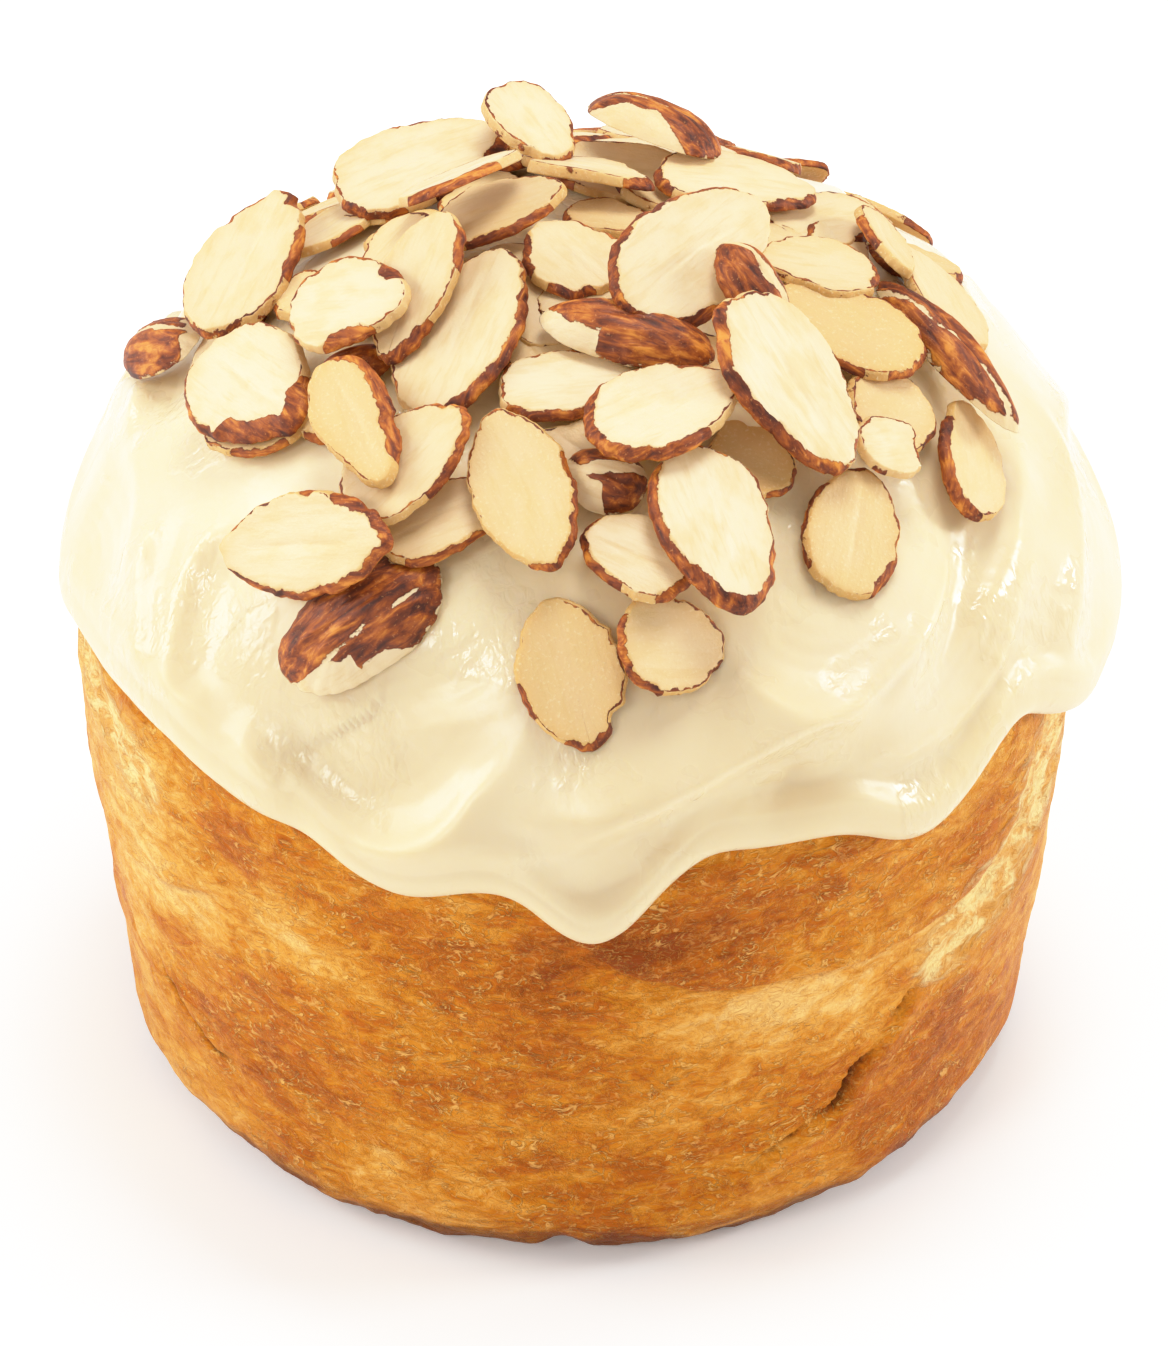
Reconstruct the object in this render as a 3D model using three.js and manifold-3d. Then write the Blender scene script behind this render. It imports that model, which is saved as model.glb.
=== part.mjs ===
// Almond roll: a tall round roll baked in a tin, a thick cap of soft frosting that has run over
// its shoulder, and a heap of flaked almonds laid on the frosting one at a time.
//
// Units are millimetres and +Z is up. The origin is the middle of the flat base.
// +X is the roll's right, -Y is its front, and angles round the roll start at the front.

import * as THREE from "three";
import { mergeVertices } from "three/addons/utils/BufferGeometryUtils.js";
import Module from "manifold-3d";

const wasm = await Module();
wasm.setup();

// ---- Driving dimensions ----
const baseRadius = 46; // the flat underside that the roll stands on
const shoulderRadius = 56.4; // the widest level of the crust
const shoulderHeight = 55;
const domeHeight = 41; // the crust's crown above the shoulder
const crustUnderFrosting = [55.1, 38]; // radius and height below which no frosting reaches
const gap = 0.45; // the air between the crust and the frosting, of which flat facets use a part

const creamAtCrown = 7.2; // how thick the frosting lies on the crown
const creamAtEdge = 3.4; // and just above its rounded edge
const creamLean = 0.28; // how much more of it lies on the right than on the left
const creamLeanSide = 80;
const creamReach = 70; // how far it reaches down from the crown, measured along the crust
const creamEdgeRound = 5; // the length over which its edge rounds off

const flakeRest = 0.35; // the air left under a flake that rests on another
const heelRim = 0.16; // a heel's rim, as a share of its thickness

const crustSegments = 60;
const crustDivisions = 5;
const creamSegments = 80;
const creamRings = 12;

// Where the frosting has run further: the angle round the roll, half the lobe's width, both in
// degrees, and how many millimetres further it reaches.
const lobes = [
  { at: 2, wide: 8, far: 11.5 },
  { at: 22, wide: 9, far: 2 },
  { at: 40, wide: 10, far: 7 },
  { at: 68, wide: 8, far: 5 },
  { at: 86, wide: 14, far: 10 },
  { at: 112, wide: 8, far: 4 },
  { at: 138, wide: 9, far: 11 },
  { at: 163, wide: 10, far: 6 },
  { at: 190, wide: 8, far: 9 },
  { at: 217, wide: 12, far: 5 },
  { at: 243, wide: 9, far: 10 },
  { at: 271, wide: 12, far: 8 },
  { at: 322, wide: 9, far: 2 },
  { at: 342, wide: 11, far: 7 },
];

// The almonds, in the order in which they are laid, so that a later one lies on the earlier ones.
// x and y are the middle of the slice in plan, turn is where its pointed end lies, counted from
// +X, and long, wide and thick are its size. A slice finds its own slope, unless tip or nod states
// it: then it stands stuck in the heap, rolled about its long axis or pitched to its pointed end.
const flakes = [
  // On the frosting at the front.
  { kind: "lens", x: -0.5, y: -52, turn: -80, long: 17.5, wide: 12, thick: 1.7 },
  { kind: "flake", x: 9.5, y: -49.5, turn: 5, long: 13, wide: 11, thick: 1.5 },
  { kind: "heel", x: -22.5, y: -44.5, turn: 35, long: 20, wide: 11, thick: 3.6 },
  { kind: "flake", x: 29, y: -35.5, turn: 95, long: 15.5, wide: 11.5, thick: 1.7 },
  { kind: "flake", x: 6, y: -43.5, turn: 150, long: 13, wide: 10.5, thick: 1.7 },
  { kind: "flake", x: 42, y: -21, turn: 115, long: 15, wide: 9, thick: 1.9 },
  { kind: "flake", x: -14, y: -38.5, turn: 25, long: 15, wide: 10, thick: 1.6 },
  { kind: "broken", x: 16.5, y: -32, turn: 165, long: 14, wide: 10, thick: 1.5 },
  { kind: "flake", x: 33.5, y: -20.5, turn: 20, long: 12, wide: 11, thick: 1.6 },
  { kind: "flake", x: -34, y: -19.5, turn: 170, long: 15, wide: 9, thick: 1.5 },
  { kind: "flake", x: 28.5, y: -12.5, turn: 155, long: 18, wide: 12, thick: 1.7 },
  { kind: "broken", x: 0, y: -32, turn: 120, long: 12, wide: 9, thick: 1.6 },
  { kind: "flake", x: -4, y: -14, turn: 115, long: 14, wide: 9, thick: 1.6 },
  { kind: "flake", x: 40, y: 3.5, turn: 115, long: 16, wide: 11, thick: 1.7 },
  { kind: "broken", x: 32.5, y: -26.5, turn: 20, long: 9.5, wide: 6.5, thick: 1.6 },

  // On the frosting at the back.
  { kind: "flake", x: -35, y: 39, turn: 130, long: 18, wide: 11, thick: 1.7 },
  { kind: "flake", x: -10, y: 38, turn: 85, long: 17, wide: 10.5, thick: 1.6 },
  { kind: "broken", x: 9, y: 35, turn: 40, long: 15, wide: 11, thick: 1.6 },
  { kind: "flake", x: 34, y: 42, turn: -50, long: 18, wide: 10.5, thick: 1.7 },
  { kind: "heel", x: 3, y: 49, turn: 10, long: 18, wide: 10, thick: 3.4 },
  { kind: "flake", x: -39, y: 21, turn: 95, long: 16, wide: 10, thick: 1.6 },
  { kind: "flake", x: -19, y: 47, turn: 45, long: 16, wide: 10.5, thick: 1.6 },
  { kind: "flake", x: 22, y: 48, turn: -60, long: 17, wide: 10.5, thick: 1.7 },

  // The second layer.
  { kind: "heel", x: 3, y: -36.5, turn: 160, long: 9, wide: 7.5, thick: 3.4 },
  { kind: "lens", x: -5, y: -38, turn: -75, long: 21, wide: 11.5, thick: 1.7 },
  { kind: "flake", x: -16.5, y: -33.5, turn: 40, long: 17, wide: 11.5, thick: 1.6 },
  { kind: "flake", x: 27, y: 10, turn: 35, long: 16, wide: 10.5, thick: 1.6 },
  { kind: "flake", x: 25.5, y: -4, turn: 190, long: 14, wide: 11, thick: 1.6 },
  { kind: "flake", x: -27, y: 10, turn: 205, long: 12, wide: 9, thick: 1.6 },
  { kind: "flake", x: -0.5, y: -7.5, turn: 130, long: 13.5, wide: 11.5, thick: 1.6 },
  { kind: "flake", x: -1, y: -26, turn: 8, long: 15.5, wide: 9.5, thick: 1.8 },
  { kind: "flake", x: 32.5, y: 4.5, turn: -70, long: 13, wide: 6.5, thick: 1.7, tip: -12 },
  { kind: "flake", x: 4, y: 15, turn: 165, long: 17, wide: 11, thick: 1.6 },
  { kind: "flake", x: -17, y: 22, turn: 60, long: 17, wide: 11, thick: 1.7 },
  { kind: "flake", x: 1.5, y: 7, turn: -20, long: 15, wide: 8.5, thick: 2, tip: -15 },
  { kind: "heel", x: -45.5, y: 4, turn: 150, long: 13, wide: 8, thick: 3 },

  // The third layer and the top of the heap.
  { kind: "flake", x: -16.5, y: 15, turn: 20, long: 20.5, wide: 13, thick: 2, tip: 18 },
  { kind: "flake", x: -8, y: 0, turn: 15, long: 16, wide: 10.5, thick: 1.7 },
  { kind: "broken", x: -19.5, y: -3, turn: 160, long: 14.5, wide: 11.5, thick: 1.6 },
  { kind: "flake", x: -33.5, y: -16.5, turn: -50, long: 17, wide: 13, thick: 2.2 },
  { kind: "heel", x: -23.5, y: -17.5, turn: 5, long: 9, wide: 5.5, thick: 2.6 },
  { kind: "flake", x: -21, y: -29, turn: -75, long: 19, wide: 9, thick: 1.9 },
  { kind: "heel", x: 5.5, y: -20.5, turn: -15, long: 18.5, wide: 8.5, thick: 3.4 },
  { kind: "flake", x: -11.5, y: -18, turn: 68, long: 22, wide: 13.5, thick: 1.9 },
  { kind: "flake", x: -16, y: -13.5, turn: 245, long: 18.5, wide: 8.5, thick: 1.7, nod: 12 },
  { kind: "flake", x: -22, y: -14.5, turn: -15, long: 15.5, wide: 12, thick: 1.8 },
  { kind: "lens", x: -26.5, y: -37.5, turn: 168, long: 25, wide: 12, thick: 2 },
  { kind: "flake", x: 13.5, y: -41, turn: -70, long: 20.5, wide: 13.5, thick: 2.4 },
  { kind: "flake", x: -34.5, y: 4.5, turn: 65, long: 21, wide: 12.5, thick: 2, tip: 12 },
  { kind: "flake", x: 17, y: 9.5, turn: 10, long: 19, wide: 11.5, thick: 1.8 },
  { kind: "heel", x: 39, y: -10, turn: 130, long: 22, wide: 8, thick: 3.4 },
  { kind: "flake", x: 8.5, y: -31, turn: 35, long: 18, wide: 11.5, thick: 2.1 },
  { kind: "flake", x: 12, y: -12, turn: 48, long: 21, wide: 13, thick: 2, tip: 20 },
  { kind: "heel", x: 17.5, y: -15.5, turn: -50, long: 10, wide: 6.5, thick: 3 },
  { kind: "flake", x: 21, y: -26, turn: -45, long: 22, wide: 13, thick: 2.1 },
  { kind: "flake", x: -9, y: 0, turn: 30, long: 15, wide: 8.5, thick: 1.9, tip: -25 },
  { kind: "heel", x: 8, y: 16.5, turn: -35, long: 17, wide: 10, thick: 3.6, tip: -20 },
  { kind: "flake", x: -4, y: 13.5, turn: -60, long: 13.5, wide: 9, thick: 1.9, nod: 22 },
];

const materials = {
  crust: new THREE.MeshStandardMaterial({ color: 0xc9863a, roughness: 0.62, metalness: 0 }),
  frosting: new THREE.MeshStandardMaterial({ color: 0xf1ead0, roughness: 0.28, metalness: 0 }),
  almond: new THREE.MeshStandardMaterial({ color: 0xf0ddb0, roughness: 0.55, metalness: 0 }),
  almondSkin: new THREE.MeshStandardMaterial({ color: 0x8a4a1c, roughness: 0.7, metalness: 0 }),
};

const degrees = THREE.MathUtils.degToRad;

// ---- The crust's section, from the middle of the base to the crown ----
function crustSection() {
  const section = new THREE.Path();
  section.moveTo(0, 0);
  section.lineTo(baseRadius, 0);
  section.quadraticCurveTo(baseRadius + 5, 0.6, baseRadius + 6, 9);
  section.quadraticCurveTo(baseRadius + 8, 26, ...crustUnderFrosting);
  section.lineTo(shoulderRadius, shoulderHeight);
  section.absellipse(0, shoulderHeight, shoulderRadius, domeHeight, 0, Math.PI / 2, false, 0);
  return section;
}

// The part of the section that carries frosting, as a curve that starts at the crown.
function crustFromCrown() {
  const path = new THREE.CurvePath();
  const dome = new THREE.EllipseCurve(
    0, shoulderHeight, shoulderRadius, domeHeight, Math.PI / 2, 0, true, 0,
  );
  const wall = new THREE.LineCurve(
    new THREE.Vector2(shoulderRadius, shoulderHeight),
    new THREE.Vector2(...crustUnderFrosting),
  );
  path.add(dome);
  path.add(wall);
  return path;
}

const crown = crustFromCrown();
const crownLength = crown.getLength();

// A point this far down the crust from the crown, raised off it by height: [radius, z].
function offCrust(distance, height) {
  const share = Math.min(distance / crownLength, 1);
  const point = crown.getPointAt(share);
  const along = crown.getTangentAt(share);
  return [point.x - along.y * height, point.y + along.x * height];
}

// A half turn of the section makes a solid whose axis is Y, so it is stood up on Z.
function lathe(points, segments) {
  return new THREE.LatheGeometry(points, segments).rotateX(Math.PI / 2);
}

function breadGeometry() {
  return lathe(crustSection().getPoints(crustDivisions), crustSegments);
}

// ---- Frosting ----
function angleFromFront(x, y) {
  return THREE.MathUtils.radToDeg(Math.atan2(x, -y));
}

function turnBetween(a, b) {
  const turn = THREE.MathUtils.euclideanModulo(a - b, 360);
  return Math.min(turn, 360 - turn);
}

function creamEdge(angle) {
  const extra = lobes.map(({ at, wide, far }) => far * Math.exp(-((turnBetween(angle, at) / wide) ** 2)));
  return creamReach + extra.reduce((sum, far) => sum + far, 0);
}

// The frosting thins towards its edge and rounds off over the last few millimetres.
function creamThickness(distance, edge, angle) {
  const share = distance / edge;
  const heavier = 1 + creamLean * share * Math.cos(degrees(angle - creamLeanSide));
  const body = (creamAtCrown + (creamAtEdge - creamAtCrown) * share ** 2) * heavier;
  const intoEdge = THREE.MathUtils.clamp(1 - (edge - distance) / creamEdgeRound, 0, 1);
  return body * Math.sqrt(1 - intoEdge ** 2);
}

// The frosting starts as a flat disc with two faces. A point's radius on the disc says how far
// from the crown to the edge it lies, and its height says which face it is on: 0 against the
// crust and 1 outside. Each point is then carried to its place on the roll.
function frostingGeometry() {
  const shares = Array.from({ length: creamRings + 1 }, (_, i) => 1 - (1 - i / creamRings) ** 1.7);
  const inside = shares.map((share) => new THREE.Vector2(share, 0));
  const outside = shares.slice(0, -1).reverse().map((share) => new THREE.Vector2(share, 1));
  const geometry = lathe([...inside, ...outside], creamSegments);
  const position = geometry.getAttribute("position");
  for (let i = 0; i < position.count; i++) {
    const [x, y, face] = [position.getX(i), position.getY(i), position.getZ(i)];
    const share = Math.hypot(x, y);
    const angle = angleFromFront(x, y);
    const edge = creamEdge(angle);
    const distance = share * creamReach + share ** 3 * (edge - creamReach);
    const height = gap + face * creamThickness(distance, edge, angle);
    const [radius, z] = offCrust(distance, height);
    const scale = share > 0 ? radius / share : 0;
    position.setXYZ(i, x * scale, y * scale, z);
  }
  return geometry;
}

// ---- Almonds ----
// A slice lies in its own XY plane with its underside at z = 0 and its pointed end along +X.
// narrow makes that end slimmer than the other, pinch above 1 makes both of them sharper, and end
// is where a broken one stops, as a share of its half length.
const cuts = {
  flake: { narrow: 0.2, pinch: 1, end: 1 },
  lens: { narrow: 0.08, pinch: 1.35, end: 1 },
  broken: { narrow: 0.2, pinch: 1, end: 0.45 },
  heel: { narrow: 0, pinch: 1, end: 1 },
};
const outlinePoints = 14;
const breakSlant = 0.25;
const rimSlope = 0.1; // how much smaller its upper face is

// The outline at this turn round it, as shares of the half length and the half width.
function outlineAt(turn, { narrow, pinch }) {
  const along = Math.cos(turn);
  const half = Math.abs(Math.sin(turn)) ** pinch * (1 - narrow * along);
  return [along, Math.sign(Math.sin(turn)) * half];
}

// How far along the slice its broken end lies, at this distance across it.
function brokenEnd(y, { kind, long }) {
  return cuts[kind].end < 1 ? (cuts[kind].end * long) / 2 + breakSlant * y : long;
}

function flakeOutline(flake) {
  return Array.from({ length: outlinePoints }, (_, i) => {
    const [along, across] = outlineAt((2 * Math.PI * (i + 0.5)) / outlinePoints, cuts[flake.kind]);
    const y = (across * flake.wide) / 2;
    return new THREE.Vector2(Math.min((along * flake.long) / 2, brokenEnd(y, flake)), y);
  });
}

function flakeGeometry(flake) {
  const geometry = new THREE.ExtrudeGeometry(new THREE.Shape(flakeOutline(flake)), {
    depth: flake.thick,
    bevelEnabled: false,
  });
  const position = geometry.getAttribute("position");
  for (let i = 0; i < position.count; i++) {
    const scale = position.getZ(i) > flake.thick / 2 ? 1 - rimSlope : 1;
    position.setXY(i, position.getX(i) * scale, position.getY(i) * scale);
  }
  return geometry;
}

// A heel is the first slice off the side of an almond: flat below and rounded above.
function heelHeight(share) {
  return heelRim + (1 - heelRim) * Math.sqrt(1 - share ** 2);
}

function heelGeometry({ long, wide, thick }) {
  const rings = [1, 0.86, 0.5, 0].map((share) => new THREE.Vector2(share, heelHeight(share)));
  const section = [new THREE.Vector2(0, 0), new THREE.Vector2(1, 0), ...rings];
  return lathe(section, outlinePoints).scale(long / 2, wide / 2, thick);
}

// A sheet of points over the slice's upper side, which carries whatever is laid on it later.
function upperPoints(flake) {
  const points = [];
  const rings = 5;
  const spokes = 22;
  for (let i = 0; i <= rings * spokes; i++) {
    const share = Math.ceil(i / spokes) / rings;
    const [along, across] = outlineAt((2 * Math.PI * i) / spokes, cuts[flake.kind]);
    const x = (share * along * flake.long) / 2;
    const y = (share * across * flake.wide) / 2;
    const z = flake.thick * (flake.kind === "heel" ? heelHeight(share) : 1);
    if (x <= brokenEnd(y, flake)) points.push(new THREE.Vector3(x, y, z));
  }
  return points;
}

function covers(flake, x, y) {
  const { narrow, pinch } = cuts[flake.kind];
  const along = THREE.MathUtils.clamp((2 * x) / flake.long, -1, 1);
  const half = (1 - along ** 2) ** (pinch / 2) * (1 - narrow * along) * (flake.wide / 2);
  return Math.abs(y) < half && x < brokenEnd(y, flake);
}

// ---- Laying the almonds ----
// The frosting's outer face at this place in plan: the point and the way straight out of it.
function creamAt(x, y) {
  const target = Math.hypot(x, y);
  const angle = angleFromFront(x, y);
  const edge = creamEdge(angle);
  const place = (distance) => offCrust(distance, gap + creamThickness(distance, edge, angle));
  let [near, far] = [0, edge];
  for (let i = 0; i < 30; i++) {
    const middle = (near + far) / 2;
    if (place(middle)[0] < target) near = middle;
    else far = middle;
  }
  const step = 0.5;
  const [radius, z] = place(near);
  const [nextRadius, nextZ] = place(near + step);
  const slope = new THREE.Vector2(nextRadius - radius, nextZ - z).normalize();
  const outX = target > 0 ? x / target : 0;
  const outY = target > 0 ? y / target : 0;
  return {
    point: new THREE.Vector3(x, y, z),
    out: new THREE.Vector3(-slope.y * outX, -slope.y * outY, slope.x),
  };
}

// The slice's own axes: its long axis lies along turn, and it is then rolled about that axis by
// roll and pitched about its width by pitch, both in radians.
function sliceAxes(out, turn, roll, pitch) {
  const heading = new THREE.Vector3(Math.cos(degrees(turn)), Math.sin(degrees(turn)), 0);
  const across = new THREE.Vector3().crossVectors(out, heading).normalize();
  const along = new THREE.Vector3().crossVectors(across, out);
  const lift = new THREE.Quaternion().setFromAxisAngle(along, roll);
  lift.premultiply(new THREE.Quaternion().setFromAxisAngle(across, pitch));
  return [along, across, out.clone()].map((axis) => axis.applyQuaternion(lift));
}

// How far out from start the slice has to move to clear every point that it covers.
function clearance(flake, start, out, axes, points) {
  const [along, across, face] = axes;
  const slant = out.dot(face);
  let highest = -Infinity;
  for (const point of points) {
    const away = point.clone().sub(start);
    const rise = away.dot(face) / slant;
    away.addScaledVector(out, -rise);
    if (rise > highest && covers(flake, away.dot(along), away.dot(across))) highest = rise;
  }
  return highest;
}

// Narrows a range down to where measure is least.
function least(measure, low, high, steps) {
  for (let i = 0; i < steps; i++) {
    const third = (high - low) / 3;
    if (measure(low + third) < measure(high - third)) high -= third;
    else low += third;
  }
  return (low + high) / 2;
}

// A loose slice settles at the roll and pitch that let it sit lowest, as it would rest on three
// points. One that is stuck in the heap keeps the roll that its tip states.
const steepest = degrees(20);
const stiffness = 9; // how far it would rather be lifted than lean, in millimetres per radian squared
const settlingSteps = 9;
const nudge = 0.15;

function restingAxes(flake, start, out, points) {
  const { turn, tip, nod } = flake;
  if (tip || nod) return sliceAxes(out, turn, degrees(tip ?? 0), degrees(nod ?? 0));
  const effort = (roll, pitch) => {
    const axes = sliceAxes(out, turn, roll, pitch);
    return clearance(flake, start, out, axes, points) + stiffness * (roll ** 2 + pitch ** 2);
  };
  const bestPitch = (roll) => least((pitch) => effort(roll, pitch), -steepest, steepest, settlingSteps);
  const roll = least((r) => effort(r, bestPitch(r)), -steepest, steepest, settlingSteps);
  return sliceAxes(out, turn, roll, bestPitch(roll));
}

function solidOf(mesh) {
  mesh.updateMatrixWorld(true);
  const geometry = mesh.geometry.clone().applyMatrix4(mesh.matrixWorld);
  geometry.deleteAttribute("normal");
  geometry.deleteAttribute("uv");
  const merged = mergeVertices(geometry, 1e-3);
  const vertProperties = merged.getAttribute("position").array;
  return new wasm.Manifold(new wasm.Mesh({ numProp: 3, vertProperties, triVerts: merged.index.array }));
}

function clashes(mesh, laidSolids) {
  const solid = solidOf(mesh);
  return laidSolids.some((laid) => laid.intersect(solid).volume() > 0);
}

function layFlake(flake, name, laidPoints, laidSolids) {
  const { point, out } = creamAt(flake.x, flake.y);
  const near = laidPoints.filter((laid) => laid.distanceTo(point) < flake.long);
  const axes = restingAxes(flake, point, out, near);
  const rise = clearance(flake, point, out, axes, near) + flakeRest;
  const heel = flake.kind === "heel";
  const mesh = new THREE.Mesh(
    heel ? heelGeometry(flake) : flakeGeometry(flake),
    heel ? materials.almondSkin : materials.almond,
  );
  mesh.name = name;
  mesh.quaternion.setFromRotationMatrix(new THREE.Matrix4().makeBasis(...axes));
  mesh.position.copy(point).addScaledVector(out, rise);

  // An edge that crosses another between two of its points is still in the way.
  while (clashes(mesh, laidSolids)) mesh.position.addScaledVector(out, nudge);
  laidSolids.push(solidOf(mesh));
  laidPoints.push(...upperPoints(flake).map((p) => p.applyMatrix4(mesh.matrixWorld)));
  return mesh;
}

// ---- The roll ----
const roll = new THREE.Group();

const bread = new THREE.Mesh(breadGeometry(), materials.crust);
bread.name = "bread";
roll.add(bread);

const frosting = new THREE.Mesh(frostingGeometry(), materials.frosting);
frosting.name = "frosting";
roll.add(frosting);

const creamPoints = [];
const creamPosition = frosting.geometry.getAttribute("position");
for (let i = 0; i < creamPosition.count; i++) {
  creamPoints.push(new THREE.Vector3().fromBufferAttribute(creamPosition, i));
}

const laidSolids = [solidOf(frosting)];
const counts = { flake: 0, heel: 0 };
for (const flake of flakes) {
  const word = flake.kind === "heel" ? "heel" : "flake";
  counts[word] += 1;
  const name = `almond_${word}_${String(counts[word]).padStart(2, "0")}`;
  roll.add(layFlake(flake, name, creamPoints, laidSolids));
}

export default roll;
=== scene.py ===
# %% [markdown]
# # An almond roll
# A tall round roll comes out of its tin with a golden, finely torn crust. A thick cap of cream is
# spread over it with a knife and runs down a little, and a heap of flaked almonds lies on the cream.
# This lesson dresses the imported solids of that roll. First it loads them: the size and place of each
# piece are read from them. What the solids don't hold, such as the folds of the crust, the swipes of
# the knife, the browner places and the bands of skin, is listed in millimetres and degrees.

# %% Load the solids
import itertools

import bpy
import numpy as np
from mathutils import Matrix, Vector


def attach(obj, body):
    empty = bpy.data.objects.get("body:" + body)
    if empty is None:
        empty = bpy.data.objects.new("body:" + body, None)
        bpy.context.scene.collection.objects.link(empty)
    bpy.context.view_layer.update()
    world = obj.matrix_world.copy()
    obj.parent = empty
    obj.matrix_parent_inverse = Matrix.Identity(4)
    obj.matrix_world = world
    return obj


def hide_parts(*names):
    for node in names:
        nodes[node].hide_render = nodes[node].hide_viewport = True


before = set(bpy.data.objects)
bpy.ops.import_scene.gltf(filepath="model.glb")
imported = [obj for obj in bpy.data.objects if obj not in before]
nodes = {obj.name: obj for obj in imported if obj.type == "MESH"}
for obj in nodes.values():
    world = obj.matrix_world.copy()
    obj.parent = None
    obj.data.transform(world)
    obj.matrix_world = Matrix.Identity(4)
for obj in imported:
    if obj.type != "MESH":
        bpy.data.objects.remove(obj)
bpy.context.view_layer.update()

MM = 0.001
slices = sorted(name for name in nodes if name.startswith("almond_flake"))
caps = sorted(name for name in nodes if name.startswith("almond_heel"))
print(len(nodes), "solids:", len(slices), "almond slices and", len(caps), "almond caps")

# %% [markdown]
# ## Measuring the solids
# A solid arrives as loose triangles. Its corner points in millimetres are all that the next steps
# need: the crust is turned like a pot, so the pairs of radius and height of its corners are its
# section, and walking along that section gives a ruler that starts at the crown.


# %% Corner points and the section of the crust
def corners(name):
    """The corner points of a solid in millimetres, each one once."""
    mesh = nodes[name].data
    flat = np.empty(len(mesh.vertices) * 3, np.float32)
    mesh.vertices.foreach_get("co", flat)
    return np.unique(np.round(flat.reshape(-1, 3).astype(float) / MM, 3), axis=0)


def section_of(points):
    """Radius and height pairs of a turned solid, ordered from the crown down and in to the base.
    radius = sqrt(x^2 + y^2); the order is by falling height and, on the flat base, falling radius."""
    radius = np.round(np.hypot(points[:, 0], points[:, 1]), 2)
    pairs = np.unique(np.stack([np.round(-points[:, 2], 2), radius], axis=1), axis=0)
    on_base = pairs[:, 0] > -0.01
    wall = pairs[~on_base]
    base = pairs[on_base][::-1]
    ordered = np.concatenate([wall, base])
    return np.stack([ordered[:, 1], -ordered[:, 0]], axis=1)


def along(path):
    """Distance walked along a path of points, starting from 0."""
    steps = np.linalg.norm(np.diff(path, axis=0), axis=1)
    return np.concatenate([[0.0], np.cumsum(steps)])


def eased_path(path, spacing, spread):
    """A path resampled evenly and smoothed: each point becomes the weighted mean of its neighbours
    with weights exp(-(distance / spread)^2), while the two ends stay where they are."""
    walked = along(path)
    even = np.linspace(0, walked[-1], int(walked[-1] / spacing))
    dense = np.stack([np.interp(even, walked, path[:, k]) for k in range(2)], axis=1)
    reach = int(3 * spread / spacing)
    weights = np.exp(-((np.arange(-reach, reach + 1) * spacing / spread) ** 2))
    weights /= weights.sum()
    before = 2 * dense[0] - dense[reach:0:-1]
    after = 2 * dense[-1] - dense[-2:-reach - 2:-1]
    padded = np.concatenate([before, dense, after])
    return np.stack([np.convolve(padded[:, k], weights, mode="valid") for k in range(2)], axis=1)


section_spacing = 0.25
section_spread = 1.6
section = eased_path(section_of(corners("bread")), section_spacing, section_spread)
section_walk = along(section)
crust_length = section_walk[-1]
print("the crust's section is", round(crust_length, 1), "mm long from crown to base centre")

# %% [markdown]
# ## Random numbers that belong to a place
# Dough, cream and nuts are uneven at several sizes at once. Noise that depends only on a point's
# place gives the same lumps every time the lesson is run, and a neighbour's lumps join without a seam.


# %% Noise from places
def scatter(cell, seed):
    """A fixed random number from 0 to 1 for each whole-number point: its three numbers are multiplied
    by large odd numbers, mixed bit by bit, and scaled."""
    whole = cell.astype(np.int64).astype(np.uint32)
    mixed = whole[..., 0] * np.uint32(73856093)
    mixed ^= whole[..., 1] * np.uint32(19349663)
    mixed ^= whole[..., 2] * np.uint32(83492791)
    mixed ^= np.uint32((seed * 2654435761) & 0xFFFFFFFF)
    mixed = (mixed ^ (mixed >> np.uint32(15))) * np.uint32(2246822519)
    mixed = (mixed ^ (mixed >> np.uint32(13))) * np.uint32(3266489917)
    return (mixed ^ (mixed >> np.uint32(16))) / 4294967295.0


def lumps(points, size, seed):
    """Smooth noise from -1 to 1 with lumps of the given size. Each corner of a cube of that size has a
    random number, and a point takes the blend of its cube's eight corners, eased at the faces."""
    scaled = points / size + 13.7 * (seed % 97)
    cell = np.floor(scaled)
    part = scaled - cell
    part = part ** 3 * (part * (part * 6 - 15) + 10)
    total = np.zeros(points.shape[:-1])
    for corner in itertools.product((0, 1), repeat=3):
        share = np.where(np.array(corner, bool), part, 1 - part).prod(axis=-1)
        total += share * scatter(cell + np.array(corner), seed)
    return 2 * total - 1


def rough(points, size, seed, layers=3):
    """Layered noise: each layer has half the lump size and half the height of the one before."""
    return sum(lumps(points, size / 2 ** k, seed + k) / 2 ** k for k in range(layers))


def ease(value, low, high):
    """0 below low, 1 above high, and t^2 (3 - 2 t) in between."""
    share = np.clip((value - low) / (high - low), 0, 1)
    return share * share * (3 - 2 * share)


def hump(value, width):
    """A bell: exp(-(value / width)^2)."""
    return np.exp(-((value / width) ** 2))


print("noise at three places:", np.round(lumps(np.eye(3) * 4.2, 3.0, 5), 3))

# %% [markdown]
# ## From a grid of points to a mesh
# Every piece here is a closed skin that can be swept by two numbers: how far from the middle of its
# upper side, and how far round. A row of the grid goes once round, the rows run from the upper middle
# over the rim to the middle of the underside, and one point closes each end.


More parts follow.
